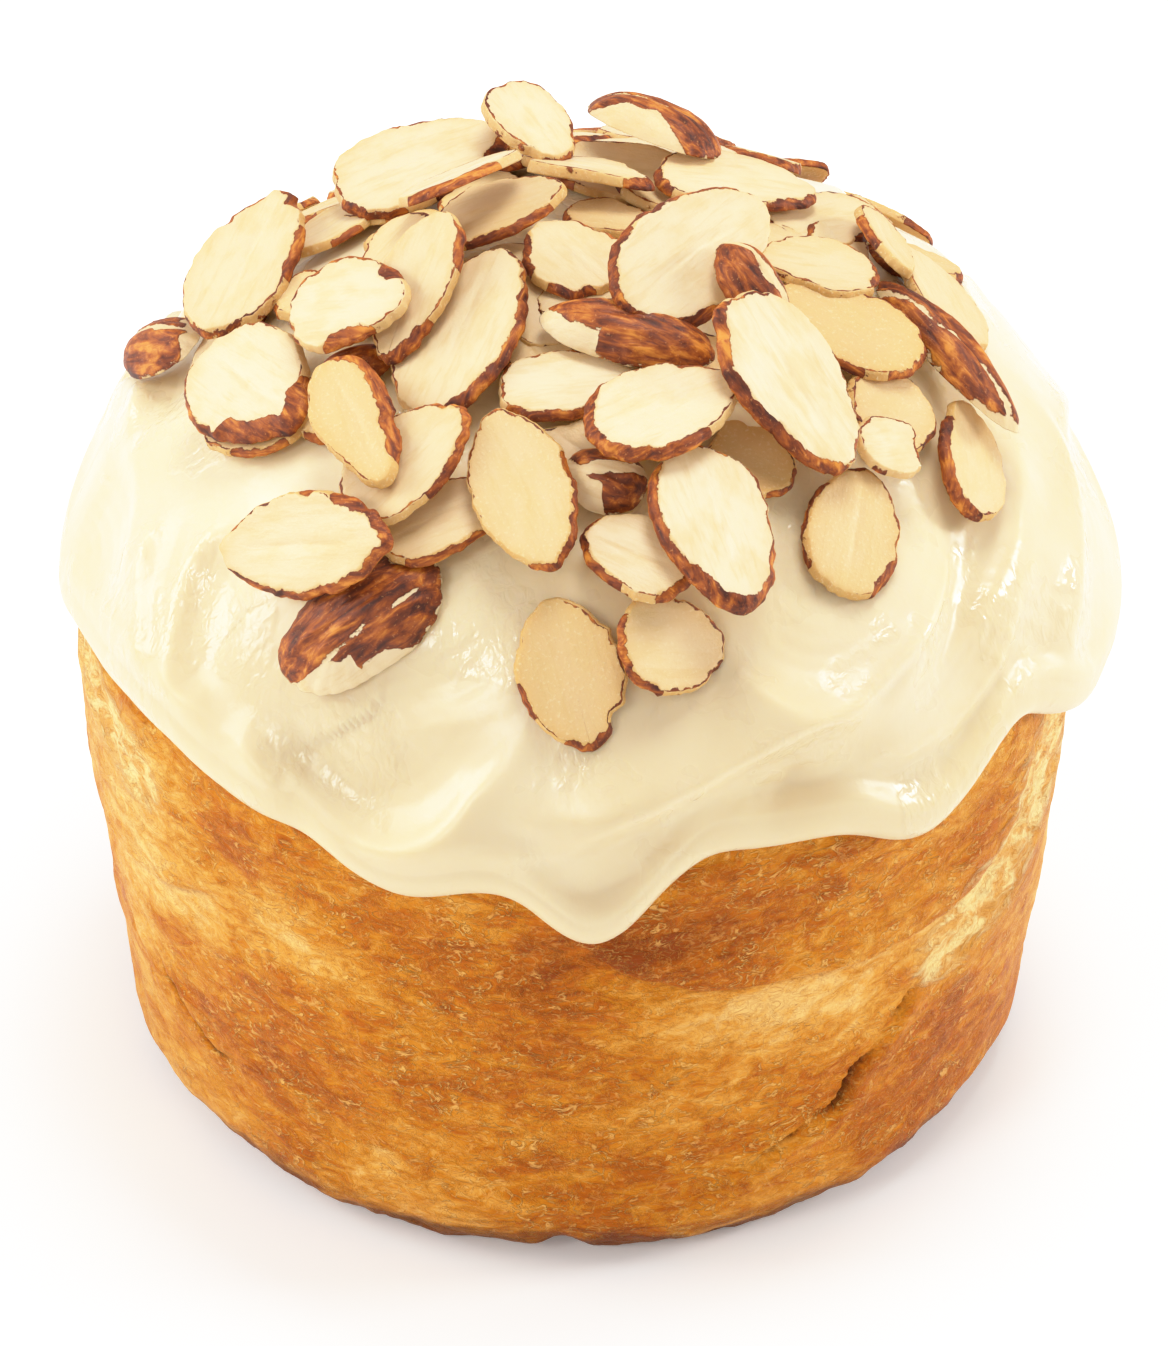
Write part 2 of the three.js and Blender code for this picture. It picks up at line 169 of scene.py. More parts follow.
# %% Build a closed piece from rings
def ring_piece(name, rings, top, bottom, marks):
    """Makes a mesh object from rings of points in millimetres, an array (rows, columns, 3). Face k of a
    row joins columns k and k + 1 of two neighbouring rows, the last column joins the first, and fans
    of triangles join the end rows to the points top and bottom. marks are values for each point."""
    rows, columns = rings.shape[:2]
    points = np.concatenate([rings.reshape(-1, 3), [top, bottom]]) * MM
    here = np.arange(rows * columns).reshape(rows, columns)
    after = np.roll(here, -1, axis=1)
    quads = np.stack([here[:-1], here[1:], after[1:], after[:-1]], axis=-1).reshape(-1, 4)
    pole_top = np.full(columns, rows * columns)
    pole_bottom = pole_top + 1
    first = np.stack([pole_top, here[0], after[0]], axis=-1)
    last = np.stack([here[-1], pole_bottom, after[-1]], axis=-1)
    mesh = bpy.data.meshes.new(name)
    mesh.from_pydata(points.tolist(), [], quads.tolist() + first.tolist() + last.tolist())
    mesh.polygons.foreach_set("use_smooth", np.ones(len(mesh.polygons), bool))
    for label, values in marks.items():
        flat = values.reshape(rows * columns, -1)
        full = np.concatenate([flat, flat[:columns].mean(0)[None], flat[-columns:].mean(0)[None]])
        kind, field = ("FLOAT", "value") if full.shape[1] == 1 else ("FLOAT_VECTOR", "vector")
        mesh.attributes.new(label, kind, "POINT").data.foreach_set(field, full.astype(np.float32).ravel())
    piece = bpy.data.objects.new(name, mesh)
    bpy.context.scene.collection.objects.link(piece)
    return piece


def dress(piece, material, slot, *stands_for):
    """Gives a piece its finish, rides it on the only body and hides the solids that it stands for."""
    piece.data.materials.append(material)
    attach(piece, "root")
    if stands_for:
        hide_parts(*stands_for)
    return piece


# %% [markdown]
# ## Writing a finish as sums
# A finish is a net of shader nodes. Written as nodes it is long and hard to read, so one small class
# wraps a socket and turns plus, minus and times into Math nodes. Colours and directions
# don't go through it, because a Math node would turn them grey.


# %% A socket that can be added and multiplied
class Wire:
    """One output socket of a finish. Arithmetic on it adds a Math node and gives its output."""

    def __init__(self, finish, socket):
        self.finish = finish
        self.socket = socket

    def maths(self, operation, *values):
        return self.finish.node("ShaderNodeMath", {"operation": operation}, dict(enumerate(values)))

    def __add__(self, other):
        return self.maths("ADD", self, other)

    def __sub__(self, other):
        return self.maths("SUBTRACT", self, other)

    def __rsub__(self, other):
        return self.maths("SUBTRACT", other, self)

    def __mul__(self, other):
        return self.maths("MULTIPLY", self, other)

    __radd__ = __add__
    __rmul__ = __mul__

    def size(self):
        """The value without its sign."""
        return self.maths("ABSOLUTE", self)

    def ease(self, low, high):
        """0 below low and 1 above high, with a smooth step between."""
        values = {"Value": self, "From Min": low, "From Max": high}
        return self.finish.node("ShaderNodeMapRange", {"interpolation_type": "SMOOTHSTEP"}, values)


class Finish:
    """A material made node by node, with one Principled shader at its end."""

    def __init__(self, name):
        self.material = bpy.data.materials.new(name)
        self.material.use_nodes = True
        self.tree = self.material.node_tree
        self.tree.nodes.clear()

    def node(self, kind, settings, values, output=0):
        """Adds a node: its settings first, with "stops" for a ramp, then its sockets' values or links."""
        made = self.tree.nodes.new(kind)
        for label, value in settings.items():
            if label == "stops":
                self.set_stops(made.color_ramp, value)
            else:
                setattr(made, label, value)
        for label, value in values.items():
            if isinstance(value, Wire):
                self.tree.links.new(value.socket, made.inputs[label])
            else:
                made.inputs[label].default_value = value
        return Wire(self, made.outputs[output]) if len(made.outputs) else None

    def set_stops(self, ramp, stops):
        """A ramp's colours as pairs of a place from 0 to 1 and a colour."""
        while len(ramp.elements) < len(stops):
            ramp.elements.new(0.5)
        for element, (place, colour) in zip(ramp.elements, stops):
            element.position = place
            element.color = colour

    def ramp(self, value, *stops):
        return self.node("ShaderNodeValToRGB", {"stops": stops}, {"Fac": value})

    def blend(self, share, first, second):
        """A colour between two colours; share 0 gives the first."""
        return self.node("ShaderNodeMix", {"data_type": "RGBA"}, {0: share, 6: first, 7: second}, 2)

    def places(self, stretch=(1.0, 1.0, 1.0), turn=(0.0, 0.0, 0.0), source=None):
        """The piece's own coordinates, turned and then stretched."""
        if source is None:
            source = self.node("ShaderNodeTexCoord", {}, {}, "Object")
        values = {"Vector": source, "Scale": stretch, "Rotation": turn}
        return self.node("ShaderNodeMapping", {}, values)

    def mark(self, label, output="Fac"):
        """A value or vector stored on the mesh."""
        return self.node("ShaderNodeAttribute", {"attribute_name": label}, {}, output)

    def noise(self, places, per_metre, detail=3.0, roughness=0.55, distortion=0.0):
        values = {
            "Vector": places, "Scale": per_metre, "Detail": detail,
            "Roughness": roughness, "Distortion": distortion,
        }
        return self.node("ShaderNodeTexNoise", {}, values)

    def finished(self, colour, roughness, height, lift, constants):
        """Ends the net: a bump of the given height in metres, and the Principled shader."""
        bump = self.node("ShaderNodeBump", {}, {"Strength": 1.0, "Distance": lift, "Height": height})
        values = {"Base Color": colour, "Roughness": roughness, "Normal": bump}
        shader = self.node("ShaderNodeBsdfPrincipled", {}, {**values, **constants})
        self.node("ShaderNodeOutputMaterial", {}, {"Surface": shader})
        print("the finish", self.material.name, "has", len(self.tree.nodes), "nodes")
        return self.material


def paint(red, green, blue):
    """A colour picked on a screen scale of 0 to 255, as the linear light that a shader works in."""
    screen = np.array([red, green, blue]) / 255
    linear = np.where(screen <= 0.04045, screen / 12.92, ((screen + 0.055) / 1.055) ** 2.4)
    return (*linear.tolist(), 1.0)


# %% [markdown]
# ## Camera, light and floor
# The roll stands on a plain white table between large soft lamps, as in a food studio. The camera
# looks down at it by 35 degrees through a long lens, so the roll hardly narrows towards its base.
# Cream and table are both nearly white, so a view that simply cuts off at white would lose the cream's
# swipes. A curve on the view bends the brightest values over softly instead, as film does.

# %% Camera
camera_slope = np.radians(35.0)
camera_distance = 0.770
aim = np.array([0.0008, 0.0, 0.0453])
away = np.array([0.0, -np.cos(camera_slope), np.sin(camera_slope)])
camera_data = bpy.data.cameras.new("camera")
camera_data.sensor_width = 36.0
camera_data.lens = 180.3
camera = bpy.data.objects.new("camera", camera_data)
camera.location = aim + away * camera_distance
camera.rotation_euler = (np.pi / 2 - camera_slope, 0.0, 0.0)
bpy.context.scene.collection.objects.link(camera)
bpy.context.scene.camera = camera
print("camera at", np.round(np.array(camera.location), 3))


# %% Soft lamps and a white room
lamps_face = Vector((0.0, 0.0, 0.06))


def lamp(name, place, size, power):
    """A square soft lamp at a place, turned to face the middle of the roll."""
    data = bpy.data.lights.new(name, "AREA")
    data.size = size
    data.energy = power
    made = bpy.data.objects.new(name, data)
    made.location = place
    bpy.context.scene.collection.objects.link(made)
    made.rotation_euler = (made.location - lamps_face).to_track_quat("Z", "Y").to_euler()
    return made


lamp("lamp_right", (0.75, 0.05, 0.30), 0.20, 2.8)
lamp("lamp_left", (-0.74, 0.05, 0.40), 0.44, 3.3)
lamp("lamp_front", (-0.50, -0.60, 0.52), 0.22, 1.5)
lamp("lamp_top", (0.10, 0.10, 0.85), 0.34, 3.9)
world = bpy.data.worlds.new("white_room")
world.use_nodes = True
room = world.node_tree.nodes["Background"]
room.inputs["Color"].default_value = (1.0, 0.985, 0.955, 1.0)
room.inputs["Strength"].default_value = 0.64
bpy.context.scene.world = world
print("four lamps, and a room of strength", round(room.inputs["Strength"].default_value, 2))

# %% Soft shoulder of the view
view = bpy.context.scene.view_settings
view.view_transform = "Standard"
view.use_curve_mapping = True
brightest = 1.7
view.curve_mapping.white_level = (brightest, brightest, brightest)
shoulder = view.curve_mapping.curves[3]
shown_at = [(0.25, 0.26), (0.5, 0.53), (0.8, 0.82), (1.05, 0.955), (1.3, 1.0)]
for bright, shown in shown_at:
    shoulder.points.new(bright / brightest, shown)
view.curve_mapping.update()
bpy.context.scene.cycles.use_denoising = True
bpy.context.scene.cycles.max_bounces = 8
print("the view reaches white at", shown_at[-1][0], "times a screen's white")

# %% Table
table_mesh = bpy.data.meshes.new("table")
half = 1.5
table_corners = [(-half, -half, 0.0), (half, -half, 0.0), (half, half, 0.0), (-half, half, 0.0)]
table_mesh.from_pydata(table_corners, [], [(0, 1, 2, 3)])
table = bpy.data.objects.new("table", table_mesh)
bpy.context.scene.collection.objects.link(table)
white = Finish("table_white")
grain = white.noise(white.places(), 900.0)
table_mesh.materials.append(white.finished(
    white.blend(grain, (0.93, 0.93, 0.93, 1.0), (0.95, 0.95, 0.95, 1.0)), 0.6, grain, 0.00001,
    {"Specular IOR Level": 0.2, "Emission Color": (1.0, 0.98, 0.96, 1.0), "Emission Strength": 0.14}))
print("table", 2 * half, "m wide")

# %% [markdown]
# ## Strokes on a round surface
# Creases in the crust and knife strokes in the cream are lines on a surface that goes round. Unrolled,
# that surface is a strip: one number is the way round in millimetres, the other the way down. A line
# through a few named places is smoothed, and each point of the piece then asks how far it is from the
# line, on which side, and how far along it.


# %% Distance to a stroke
def smooth_steps(a, b, c, d, pieces):
    """Points of a Catmull-Rom curve. Each row of a, b, c and d holds four places in a row, and from b
    to c the curve is a cubic whose slope at a place is half of the step between its neighbours."""
    part = np.linspace(0, 1, pieces, endpoint=False)[:, None, None]
    curve = 0.5 * (2 * b + (c - a) * part + (2 * a - 5 * b + 4 * c - d) * part ** 2
                   + (3 * b - a - 3 * c + d) * part ** 3)
    return curve.transpose(1, 0, 2).reshape(-1, 2)


def stroke_line(places, pieces=6):
    """A smooth line through places. Past each end lies one more place, as far as the last step."""
    knots = np.array(places, float)
    ends = np.concatenate([[2 * knots[0] - knots[1]], knots, [2 * knots[-1] - knots[-2]]])
    curve = smooth_steps(ends[:-3], ends[1:-2], ends[2:-1], ends[3:], pieces)
    return np.concatenate([curve, knots[-1:]])


def around(angle, centre):
    """An angle in degrees taken to within half a turn of a centre."""
    return centre + (angle - centre + 180) % 360 - 180


def from_stroke(angle, down, places, radius, reach):
    """For points at an angle and a way down: their signed distance from a stroke, positive on its
    right-hand side as it is walked, and their share of its length. Points further than reach from
    the stroke's box get a distance of 1000. A degree is radius * pi / 180 millimetres wide."""
    degree = radius * np.pi / 180
    line = stroke_line(places)
    middle = line[:, 0].mean()
    u = around(angle, middle) * degree
    line_u = line[:, 0] * degree
    line_v = line[:, 1]
    near = (u > line_u.min() - reach) & (u < line_u.max() + reach)
    near &= (down > line_v.min() - reach) & (down < line_v.max() + reach)
    px, py = u[near][:, None], down[near][:, None]
    dx, dy = np.diff(line_u), np.diff(line_v)
    length = dx * dx + dy * dy + 1e-9
    share = np.clip(((px - line_u[:-1]) * dx + (py - line_v[:-1]) * dy) / length, 0, 1)
    ex = px - line_u[:-1] - share * dx
    ey = py - line_v[:-1] - share * dy
    apart = np.hypot(ex, ey)
    best = apart.argmin(axis=1)
    rows = np.arange(len(best))
    side = np.sign(dx[best] * (py[:, 0] - line_v[best]) - dy[best] * (px[:, 0] - line_u[best]))
    signed = np.full(u.shape, 1000.0)
    signed[near] = apart[rows, best] * np.where(side == 0, 1, side)
    walked = np.full(u.shape, 0.0)
    walked[near] = (best + share[rows, best]) / len(dx)
    return signed, walked


def faded(walked, start=0.15, end=0.15):
    """1 along a stroke's middle and 0 at its two ends."""
    return ease(walked, 0, start) * (1 - ease(walked, 1 - end, 1))


print("a stroke through three places has", len(stroke_line([(0, 0), (5, 2), (10, 0)])), "points")


# %% [markdown]
# ## The crust
# The roll rose in its tin, so its side is a skin of dough stretched upwards and torn a little as it
# baked: torn fibres lie round it, two layers of rolled dough overlap in a soft step, and a crack opened
# near the base. The section read from the solid is turned, and then every point is moved in or out.
# Only what a hand could feel is moved here; the fibres, thinner than a hair, are left to the finish.

# %% Rings of the crust
crust_columns = 480
pole_gap = 3.0
base_run = 47.0
above_widest = 6.0
crust_angle = np.linspace(0, 360, crust_columns, endpoint=False)
wall_top = section_walk[np.argmax(section[:, 0])] - above_widest
crust_rows = np.concatenate([
    np.linspace(pole_gap, wall_top, 22, endpoint=False),
    np.linspace(wall_top, crust_length - base_run, 158, endpoint=False),
    np.linspace(crust_length - base_run, crust_length - pole_gap, 8),
])
ring_radius = np.interp(crust_rows, section_walk, section[:, 0])
ring_height = np.interp(crust_rows, section_walk, section[:, 1])
slope_r = np.gradient(ring_radius, crust_rows)
slope_z = np.gradient(ring_height, crust_rows)
turn = np.radians(crust_angle)[None, :]
outward = np.stack([-slope_z[:, None] * np.sin(turn), slope_z[:, None] * np.cos(turn),
                    slope_r[:, None] + 0 * turn], axis=-1)
outward /= np.linalg.norm(outward, axis=-1, keepdims=True)
plain = np.stack([ring_radius[:, None] * np.sin(turn), -ring_radius[:, None] * np.cos(turn),
                  ring_height[:, None] + 0 * turn], axis=-1)
angle_grid = np.broadcast_to(crust_angle, plain.shape[:2])
height_grid = np.broadcast_to(ring_height[:, None], plain.shape[:2])
print("crust grid", plain.shape[:2], "rings start at radius", round(ring_radius[0], 1))

# %% [markdown]
# The folds and cracks at the front have places of their own, as pairs of degrees round the roll and
# millimetres up; the ones at the back go on in the same manner. A fold is a step with a hollow under
# it, a crack is a narrow ragged groove with a raised lip, and an open band is rough torn crumb.

# %% Folds, cracks and open bands of the crust
fold_edge = [(-2, 52), (5, 45), (15, 41), (30, 39), (46, 39), (60, 43), (74, 53)]
open_bands = [
    ([(77, 59), (72, 50), (66, 42.5), (58, 37), (50, 32.5), (44, 28)], 11.0, 6.0),
    ([(-88, 60), (-78, 57.5), (-68, 55), (-60, 53), (-53, 51)], 5.4, 1.6),
]
crack = [(45, 31), (40, 26), (37, 22), (29, 16), (14, 10)]
left_crease = [(-62, 27), (-55, 20), (-50, 17), (-45, 19)]
other_folds = [
    [(100, 40), (118, 32), (138, 29), (158, 33), (172, 41)],
    [(196, 24), (214, 31), (236, 33), (256, 29), (270, 22)],
    [(262, 44), (280, 38), (300, 38), (318, 44)],
]
other_cracks = [
    [(128, 22), (133, 18), (141, 14), (150, 11)],
    [(228, 20), (222, 15), (219, 10)],
    [(290, 26), (296, 21), (300, 15)],
]


# %% Relief of the crust
wobble = rough(plain, 4.0, 31) * 0.5
relief = 0.55 * lumps(plain * [1, 1, 1.3], 26.0, 11) + 0.26 * rough(plain, 9.0, 12)
relief += 0.13 * rough(plain * [0.5, 0.5, 1.0], 2.4, 13)
stretched = np.zeros(plain.shape[:2])
# shade is painted shade: a dark line put into the crust's colour along the hollows under folds and in the
# grooves of cracks, where shade falls.
shade = np.zeros(plain.shape[:2])
for places, step in [(fold_edge, 1.0)] + [(line, 0.8) for line in other_folds]:
    apart, walked = from_stroke(angle_grid, height_grid, places, 55.0, 22.0)
    apart = apart + 0.5 * wobble
    lift = ease(apart, -0.5, 0.7) * np.exp(-np.clip(apart, 0, None) / 9.0)
    hollow = hump(apart + 1.6, 2.4)
    relief += step * faded(walked) * (0.9 * lift - 0.45 * hollow) * (np.abs(apart) < 900)
    stretched += faded(walked) * ease(apart, 0.6, -0.6) * np.exp(np.clip(apart, None, 0) / 7.0)
    shade += 0.5 * faded(walked) * hump(apart + 0.3, 0.8)
for places, deep in [(crack, 1.6), (left_crease, 0.9)] + [(line, 1.0) for line in other_cracks]:
    apart, walked = from_stroke(angle_grid, height_grid, places, 52.0, 8.0)
    ragged = apart + 1.8 * wobble
    gape = faded(walked, 0.18, 0.4) * np.clip(0.75 + 0.7 * lumps(plain, 4.0, 32), 0, 1)
    relief -= deep * gape * hump(ragged, 0.48)
    relief += 0.35 * deep * faded(walked) * hump(ragged - 1.9, 1.5)
    shade += 1.7 * gape * hump(ragged, 0.5)
torn = np.zeros(plain.shape[:2])
for places, wide, narrowing in open_bands:
    apart, walked = from_stroke(angle_grid, height_grid, places, 55.0, 14.0)
    band_width = wide - narrowing * walked
    torn = np.maximum(torn, faded(walked, 0.1, 0.2) * hump(apart / band_width + 0.35 * wobble, 0.8))
relief += ease(torn, 0.2, 0.7) * (0.42 * rough(plain, 1.9, 14) - 0.45)
print("before its foot is shaped, the crust moves by", np.round([relief.min(), relief.max()], 2), "mm")

# %% [markdown]
# How brown the skin is follows how hard each place was pressed to the hot tin and how far the dough
# had stretched. The places at the front are named one by one; the back's come from a seeded list.

# %% Browner and paler places
# degrees round, mm up, half width in degrees, half height in mm, how much browner
browned = [
    (-6, 35, 15, 9, 0.75), (3, 48, 6, 3, 0.8), (-42, 54, 9, 4, 0.55), (-12, 46, 12, 4, 0.3),
    (26, 50, 21, 8, 0.80), (46, 15, 16, 8, 0.15), (64, 24, 10, 10, -0.30), (62, 55, 10, 8, -0.45),
    (-11, 18, 18, 7, 0.50), (-60, 46, 15, 11, -0.85), (-80, 56, 14, 9, -0.95), (-66, 28, 9, 12, -0.35),
    (-36, 40, 13, 7, -0.75),
    (24, 34, 22, 5, -0.55), (30, 28, 9, 5, -0.35), (18, 21, 9, 7, -0.25), (84, 36, 9, 16, -0.35),
]
oven = np.random.default_rng(3)
for place in range(18):
    browned.append((96 + place * 9.6 + oven.uniform(-5, 5), oven.uniform(12, 58), oven.uniform(8, 20),
                    oven.uniform(5, 12), oven.uniform(-0.7, 0.8)))
browning = np.zeros(plain.shape[:2])
for at, level, half_width, half_height, amount in browned:
    aside = (around(angle_grid, at) - at) / half_width
    browning += amount * np.exp(-aside ** 2 - ((height_grid - level) / half_height) ** 2)
print("browning from", round(browning.min(), 2), "to", round(browning.max(), 2))

# %% The edge of the base, and the skirt under the cream
low = 1 - ease(height_grid, 0.5, 7.0)
relief += low * (0.35 * rough(plain, 3.1, 17) - 0.7) * ease(height_grid, 0.0, 1.2)
relief += 0.3 * (1 - ease(height_grid, 2.0, 13.0))
relief -= 1.4 * hump(around(angle_grid, 0) + 2.0, 2.6) * hump(height_grid, 5.5)
relief *= np.where(height_grid > 60, 0.25, 1.0) * ease(height_grid, -0.3, 0.8)
crust_rings = plain + outward * relief[..., None]
crust_rings[..., 2] = np.maximum(crust_rings[..., 2], 0.0)
crust_marks = {
    "stretched": np.clip(stretched, 0, 1),
    "shade": np.clip(shade, 0, 1.5),
    "torn": np.clip(torn, 0, 1),
    "low": 1 - ease(height_grid, 1.0, 10.0),
    "browning": browning,
}
crown = [0.0, 0.0, section[0, 1]]
crust = ring_piece("crust", crust_rings, crown, [0.0, 0.0, 0.0], crust_marks)
print("crust:", len(crust.data.polygons), "faces")

# %% [markdown]
# The crust's colour is where it browned: the skin is golden, deeper where it touched the hot tin, and
# pale where the dough tore open late. Its torn fibres show as short pale threads that lie round the
# roll. Stretching the coordinates of a noise along the way round gives such threads: the narrow band
# where the noise passes its middle value is a line. The marks stored on the mesh say where the skin is
# browner, where painted shade darkens the hollows under folds and the grooves of cracks, where pale
# crumb shows and where the foot is dark.

# %% Finish of the crust
baked = Finish("baked_crust")
lying = baked.places(stretch=(0.55, 0.55, 1.0))
wandering = baked.places(stretch=(0.5, 0.5, 1.0), turn=(0.12, 0.10, 0.0))
evenly = baked.places()
broad = baked.noise(evenly, 34.0, 2.0)
patches = baked.noise(wandering, 150.0, 4.0, 0.6, 0.6)
mottle = baked.noise(wandering, 520.0, 4.0, 0.66, 0.8)
speckle = baked.noise(evenly, 1700.0, 2.0, 0.6)
thread_noise = baked.noise(lying, 620.0, 2.0, 0.5, 1.8)
thread_breaks = baked.noise(evenly, 760.0, 1.0, 0.5)
fleck_zone = baked.noise(evenly, 190.0, 3.0, 0.6)
fine_noise = baked.noise(evenly, 950.0, 2.0, 0.6, 1.6)
threads = 1 - ((thread_noise - 0.5).size() * 15.0).ease(0.0, 1.0)
threads = threads * thread_breaks.ease(0.44, 0.54) * (0.45 + fleck_zone.ease(0.42, 0.62))
fine_threads = 1 - ((fine_noise - 0.5).size() * 14.0).ease(0.0, 1.0)
fine_threads = fine_threads * thread_breaks.ease(0.60, 0.45)
stretched_mark = baked.mark("stretched").ease(0.05, 0.8)
torn_edge = baked.mark("torn") + (patches - 0.5) + (mottle - 0.5) * 1.2
torn_mark = torn_edge.ease(0.08, 0.70) * baked.mark("torn").ease(0.02, 0.16)
painted_crease_shade_mark = (baked.mark("shade") + (speckle - 0.5) * 0.5).ease(0.15, 1.0)
low_mark = (baked.mark("low") + (patches - 0.5) * 1.6).ease(0.28, 0.92)
calm = 1 - stretched_mark * 0.5
brownness = 0.5 + (broad - 0.5) * 0.5 + (patches - 0.5) * 0.36 + (mottle - 0.5) * 0.56
brownness = brownness + baked.mark("browning") * 0.19 - stretched_mark * 0.13 + 0.035
colour = baked.ramp(
    brownness,
    (0.30, paint(238, 184, 108)), (0.42, paint(220, 152, 60)), (0.52, paint(198, 122, 20)),
    (0.62, paint(176, 92, 2)), (0.78, paint(134, 58, 0)),
)
colour = baked.blend(fine_threads * 0.20 * calm, colour, paint(238, 178, 86))
colour = baked.blend(threads * 0.42 * calm, colour, paint(244, 190, 106))
crumb = baked.blend(mottle.ease(0.38, 0.62), paint(226, 160, 78), paint(252, 218, 150))
colour = baked.blend(torn_mark * 0.90, colour, crumb)
colour = baked.blend(low_mark * 0.80, colour, paint(98, 40, 2))
# painted shade: the hollows of folds and the grooves of cracks are darkened in the colour.
colour = baked.blend(painted_crease_shade_mark * 0.75, colour, paint(92, 36, 4))
height = mottle * 1.1 + threads * 0.26 * calm + fine_threads * 0.12 + speckle * 0.10 + patches * 0.5
height = height + torn_mark * (mottle * 0.8 + speckle * 0.5)
baked_crust = baked.finished(colour, 0.5 - 0.10 * patches, height, 0.00058, {
    "Specular IOR Level": 0.10,
})
dress(crust, baked_crust, "crust", "bread")

# %% [markdown]
# ## The cream
# The cream is spread with a knife: each swipe leaves a shallow dish with a lip along one side, and
# where swipes meet, a ridge stays. At its lower edge it hangs in a thick rounded roll that has slipped
# further in some places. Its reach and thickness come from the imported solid, angle by angle; the
# swipes are added as strokes. Its surface starts a third of a millimetre inside the solid's, and at its
# two sides it also reaches less far down and is thinner than the solid.

# %% Reach and thickness of the cream, from its solid
cream_points = corners("frosting")
cream_radius = np.hypot(cream_points[:, 0], cream_points[:, 1])
cream_turn = np.degrees(np.arctan2(cream_points[:, 0], -cream_points[:, 1])) % 360
gaps = np.hypot(cream_radius[:, None] - section[:, 0], cream_points[:, 2, None] - section[:, 1])
cream_walk = section_walk[gaps.argmin(axis=1)]
cream_off = gaps.min(axis=1)
spoke_count = len(np.unique(np.round(cream_turn[cream_radius > 30], 1)))
spoke_step = 360 / spoke_count
shares = np.linspace(0, 1, 26)
reach_at = np.zeros(spoke_count)
thick_at = np.zeros((spoke_count, len(shares)))
for spoke in range(spoke_count):
    mine = (np.abs(around(cream_turn, spoke * spoke_step) - spoke * spoke_step) < 0.4 * spoke_step)
    mine |= cream_radius < 0.5
    walk, off = cream_walk[mine], cream_off[mine]
    reach_at[spoke] = walk.max()
    outer = off > 0.9
    order = np.argsort(walk[outer])
    thick_at[spoke] = np.interp(shares * reach_at[spoke], walk[outer][order], off[outer][order])
print("cream on", spoke_count, "spokes reaches", round(reach_at.min(), 1), "to", round(reach_at.max(), 1))


def finer_round(values, count):
    """Values round a circle at more places: their waves are kept and given zero-height faster ones."""
    waves = np.fft.rfft(values, axis=0)
    shape = (count // 2 + 1,) + values.shape[1:]
    padded = np.zeros(shape, complex)
    padded[: len(waves)] = waves
    return np.fft.irfft(padded, count, axis=0) * (count / len(values))


# %% Rings of the cream
cream_columns = 560
cream_angle = np.linspace(0, 360, cream_columns, endpoint=False)
reach = finer_round(reach_at, cream_columns)
# where the edge stays higher: degrees round, half width in degrees, and by how many millimetres
short_sides = [(98, 15, 3.4), (-93, 14, 5.0)]
reach -= sum(less * hump(around(cream_angle, at) - at, half_width) for at, half_width, less in short_sides)
thickness = finer_round(thick_at, cream_columns)
edge_round = 4.2
open_rows = np.concatenate([np.linspace(0.03, 0.45, 22, endpoint=False), np.linspace(0.45, 1.0, 108)])
curl_rows = np.linspace(0, np.pi / 2, 18)[1:]
under_rows = np.linspace(1.0, 0.04, 14)


def on_crust(walk, off, angle):
    """The point at a distance walked down the crust's section from the crown, off it by some
    millimetres, at an angle round the roll: x = r sin(angle), y = -r cos(angle)."""
    normal_r = np.interp(walk, crust_rows, -slope_z)
    normal_z = np.interp(walk, crust_rows, slope_r)
    radius = np.interp(walk, section_walk, section[:, 0]) + off * normal_r
    level = np.interp(walk, section_walk, section[:, 1]) + off * normal_z
    turned = np.radians(angle)
    return np.stack([radius * np.sin(turned), -radius * np.cos(turned), level], axis=-1)


round_start = reach - edge_round
open_walk = open_rows[:, None] * round_start[None, :]
open_angle = np.broadcast_to(cream_angle, open_walk.shape)
cream_thick = np.empty(open_walk.shape)
for column in range(cream_columns):
    cream_thick[:, column] = np.interp(open_walk[:, column] / reach[column], shares, thickness[column])
print("cream is", np.round([cream_thick.min(), cream_thick.max()], 1), "mm thick before its edge")

# %% [markdown]
# Each swipe of the knife is a stroke with a lip on one side and a dish on the other. The swipes at the
# front are placed one by one; the rest go round the sides and back from a seeded list.

# %% Knife strokes
# places (degrees, mm from the crown), lip height, lip width, dish depth, dish width, side of the dish
strokes = [
    ([(-38, 60), (-34, 67), (-24, 71), (-13, 67), (-3, 53)], 3.0, 2.0, 1.4, 6.5, -1),
    ([(-31, 60), (-22, 60), (-12, 56), (-4, 48)], 0.3, 1.4, 0.3, 4.0, -1),
    ([(-36, 57), (-20, 53), (-5, 46)], 0.5, 2.2, 0.1, 4.5, 1),
    ([(-50, 44), (-54, 53), (-49, 62), (-40, 62)], 1.5, 1.9, 1.3, 5.5, -1),
    ([(-66, 50), (-60, 58), (-52, 65)], 0.8, 2.2, 0.7, 5.0, -1),
    ([(-88, 54), (-74, 53), (-63, 62)], 0.5, 2.2, 0.7, 5.0, 1),
    ([(56, 47), (48, 54), (34, 59), (18, 62), (2, 68), (-14, 71)], 3.4, 2.4, 2.6, 8.0, -1),
    ([(17, 48), (22, 56), (32, 59), (48, 54)], 1.3, 1.4, 0.8, 4.0, -1),
    ([(80, 46), (60, 54), (42, 62)], 1.2, 1.7, 1.1, 5.5, 1),
    ([(66, 56), (48, 66), (28, 66)], 1.3, 2.2, 1.2, 5.0, -1),
    ([(25, 62), (21, 67), (19, 73)], -0.9, 1.8, 0.0, 3.0, 1),
    ([(-10, 67), (0, 66), (9, 62)], 0.6, 1.1, 0.4, 3.0, 1),
    ([(-46, 66), (-32, 72), (-17, 75)], 0.7, 1.6, 0.4, 3.0, -1),
    ([(90, 50), (82, 58), (70, 64), (60, 70)], 1.1, 1.5, 0.9, 4.5, -1),
]
knife = np.random.default_rng(8)
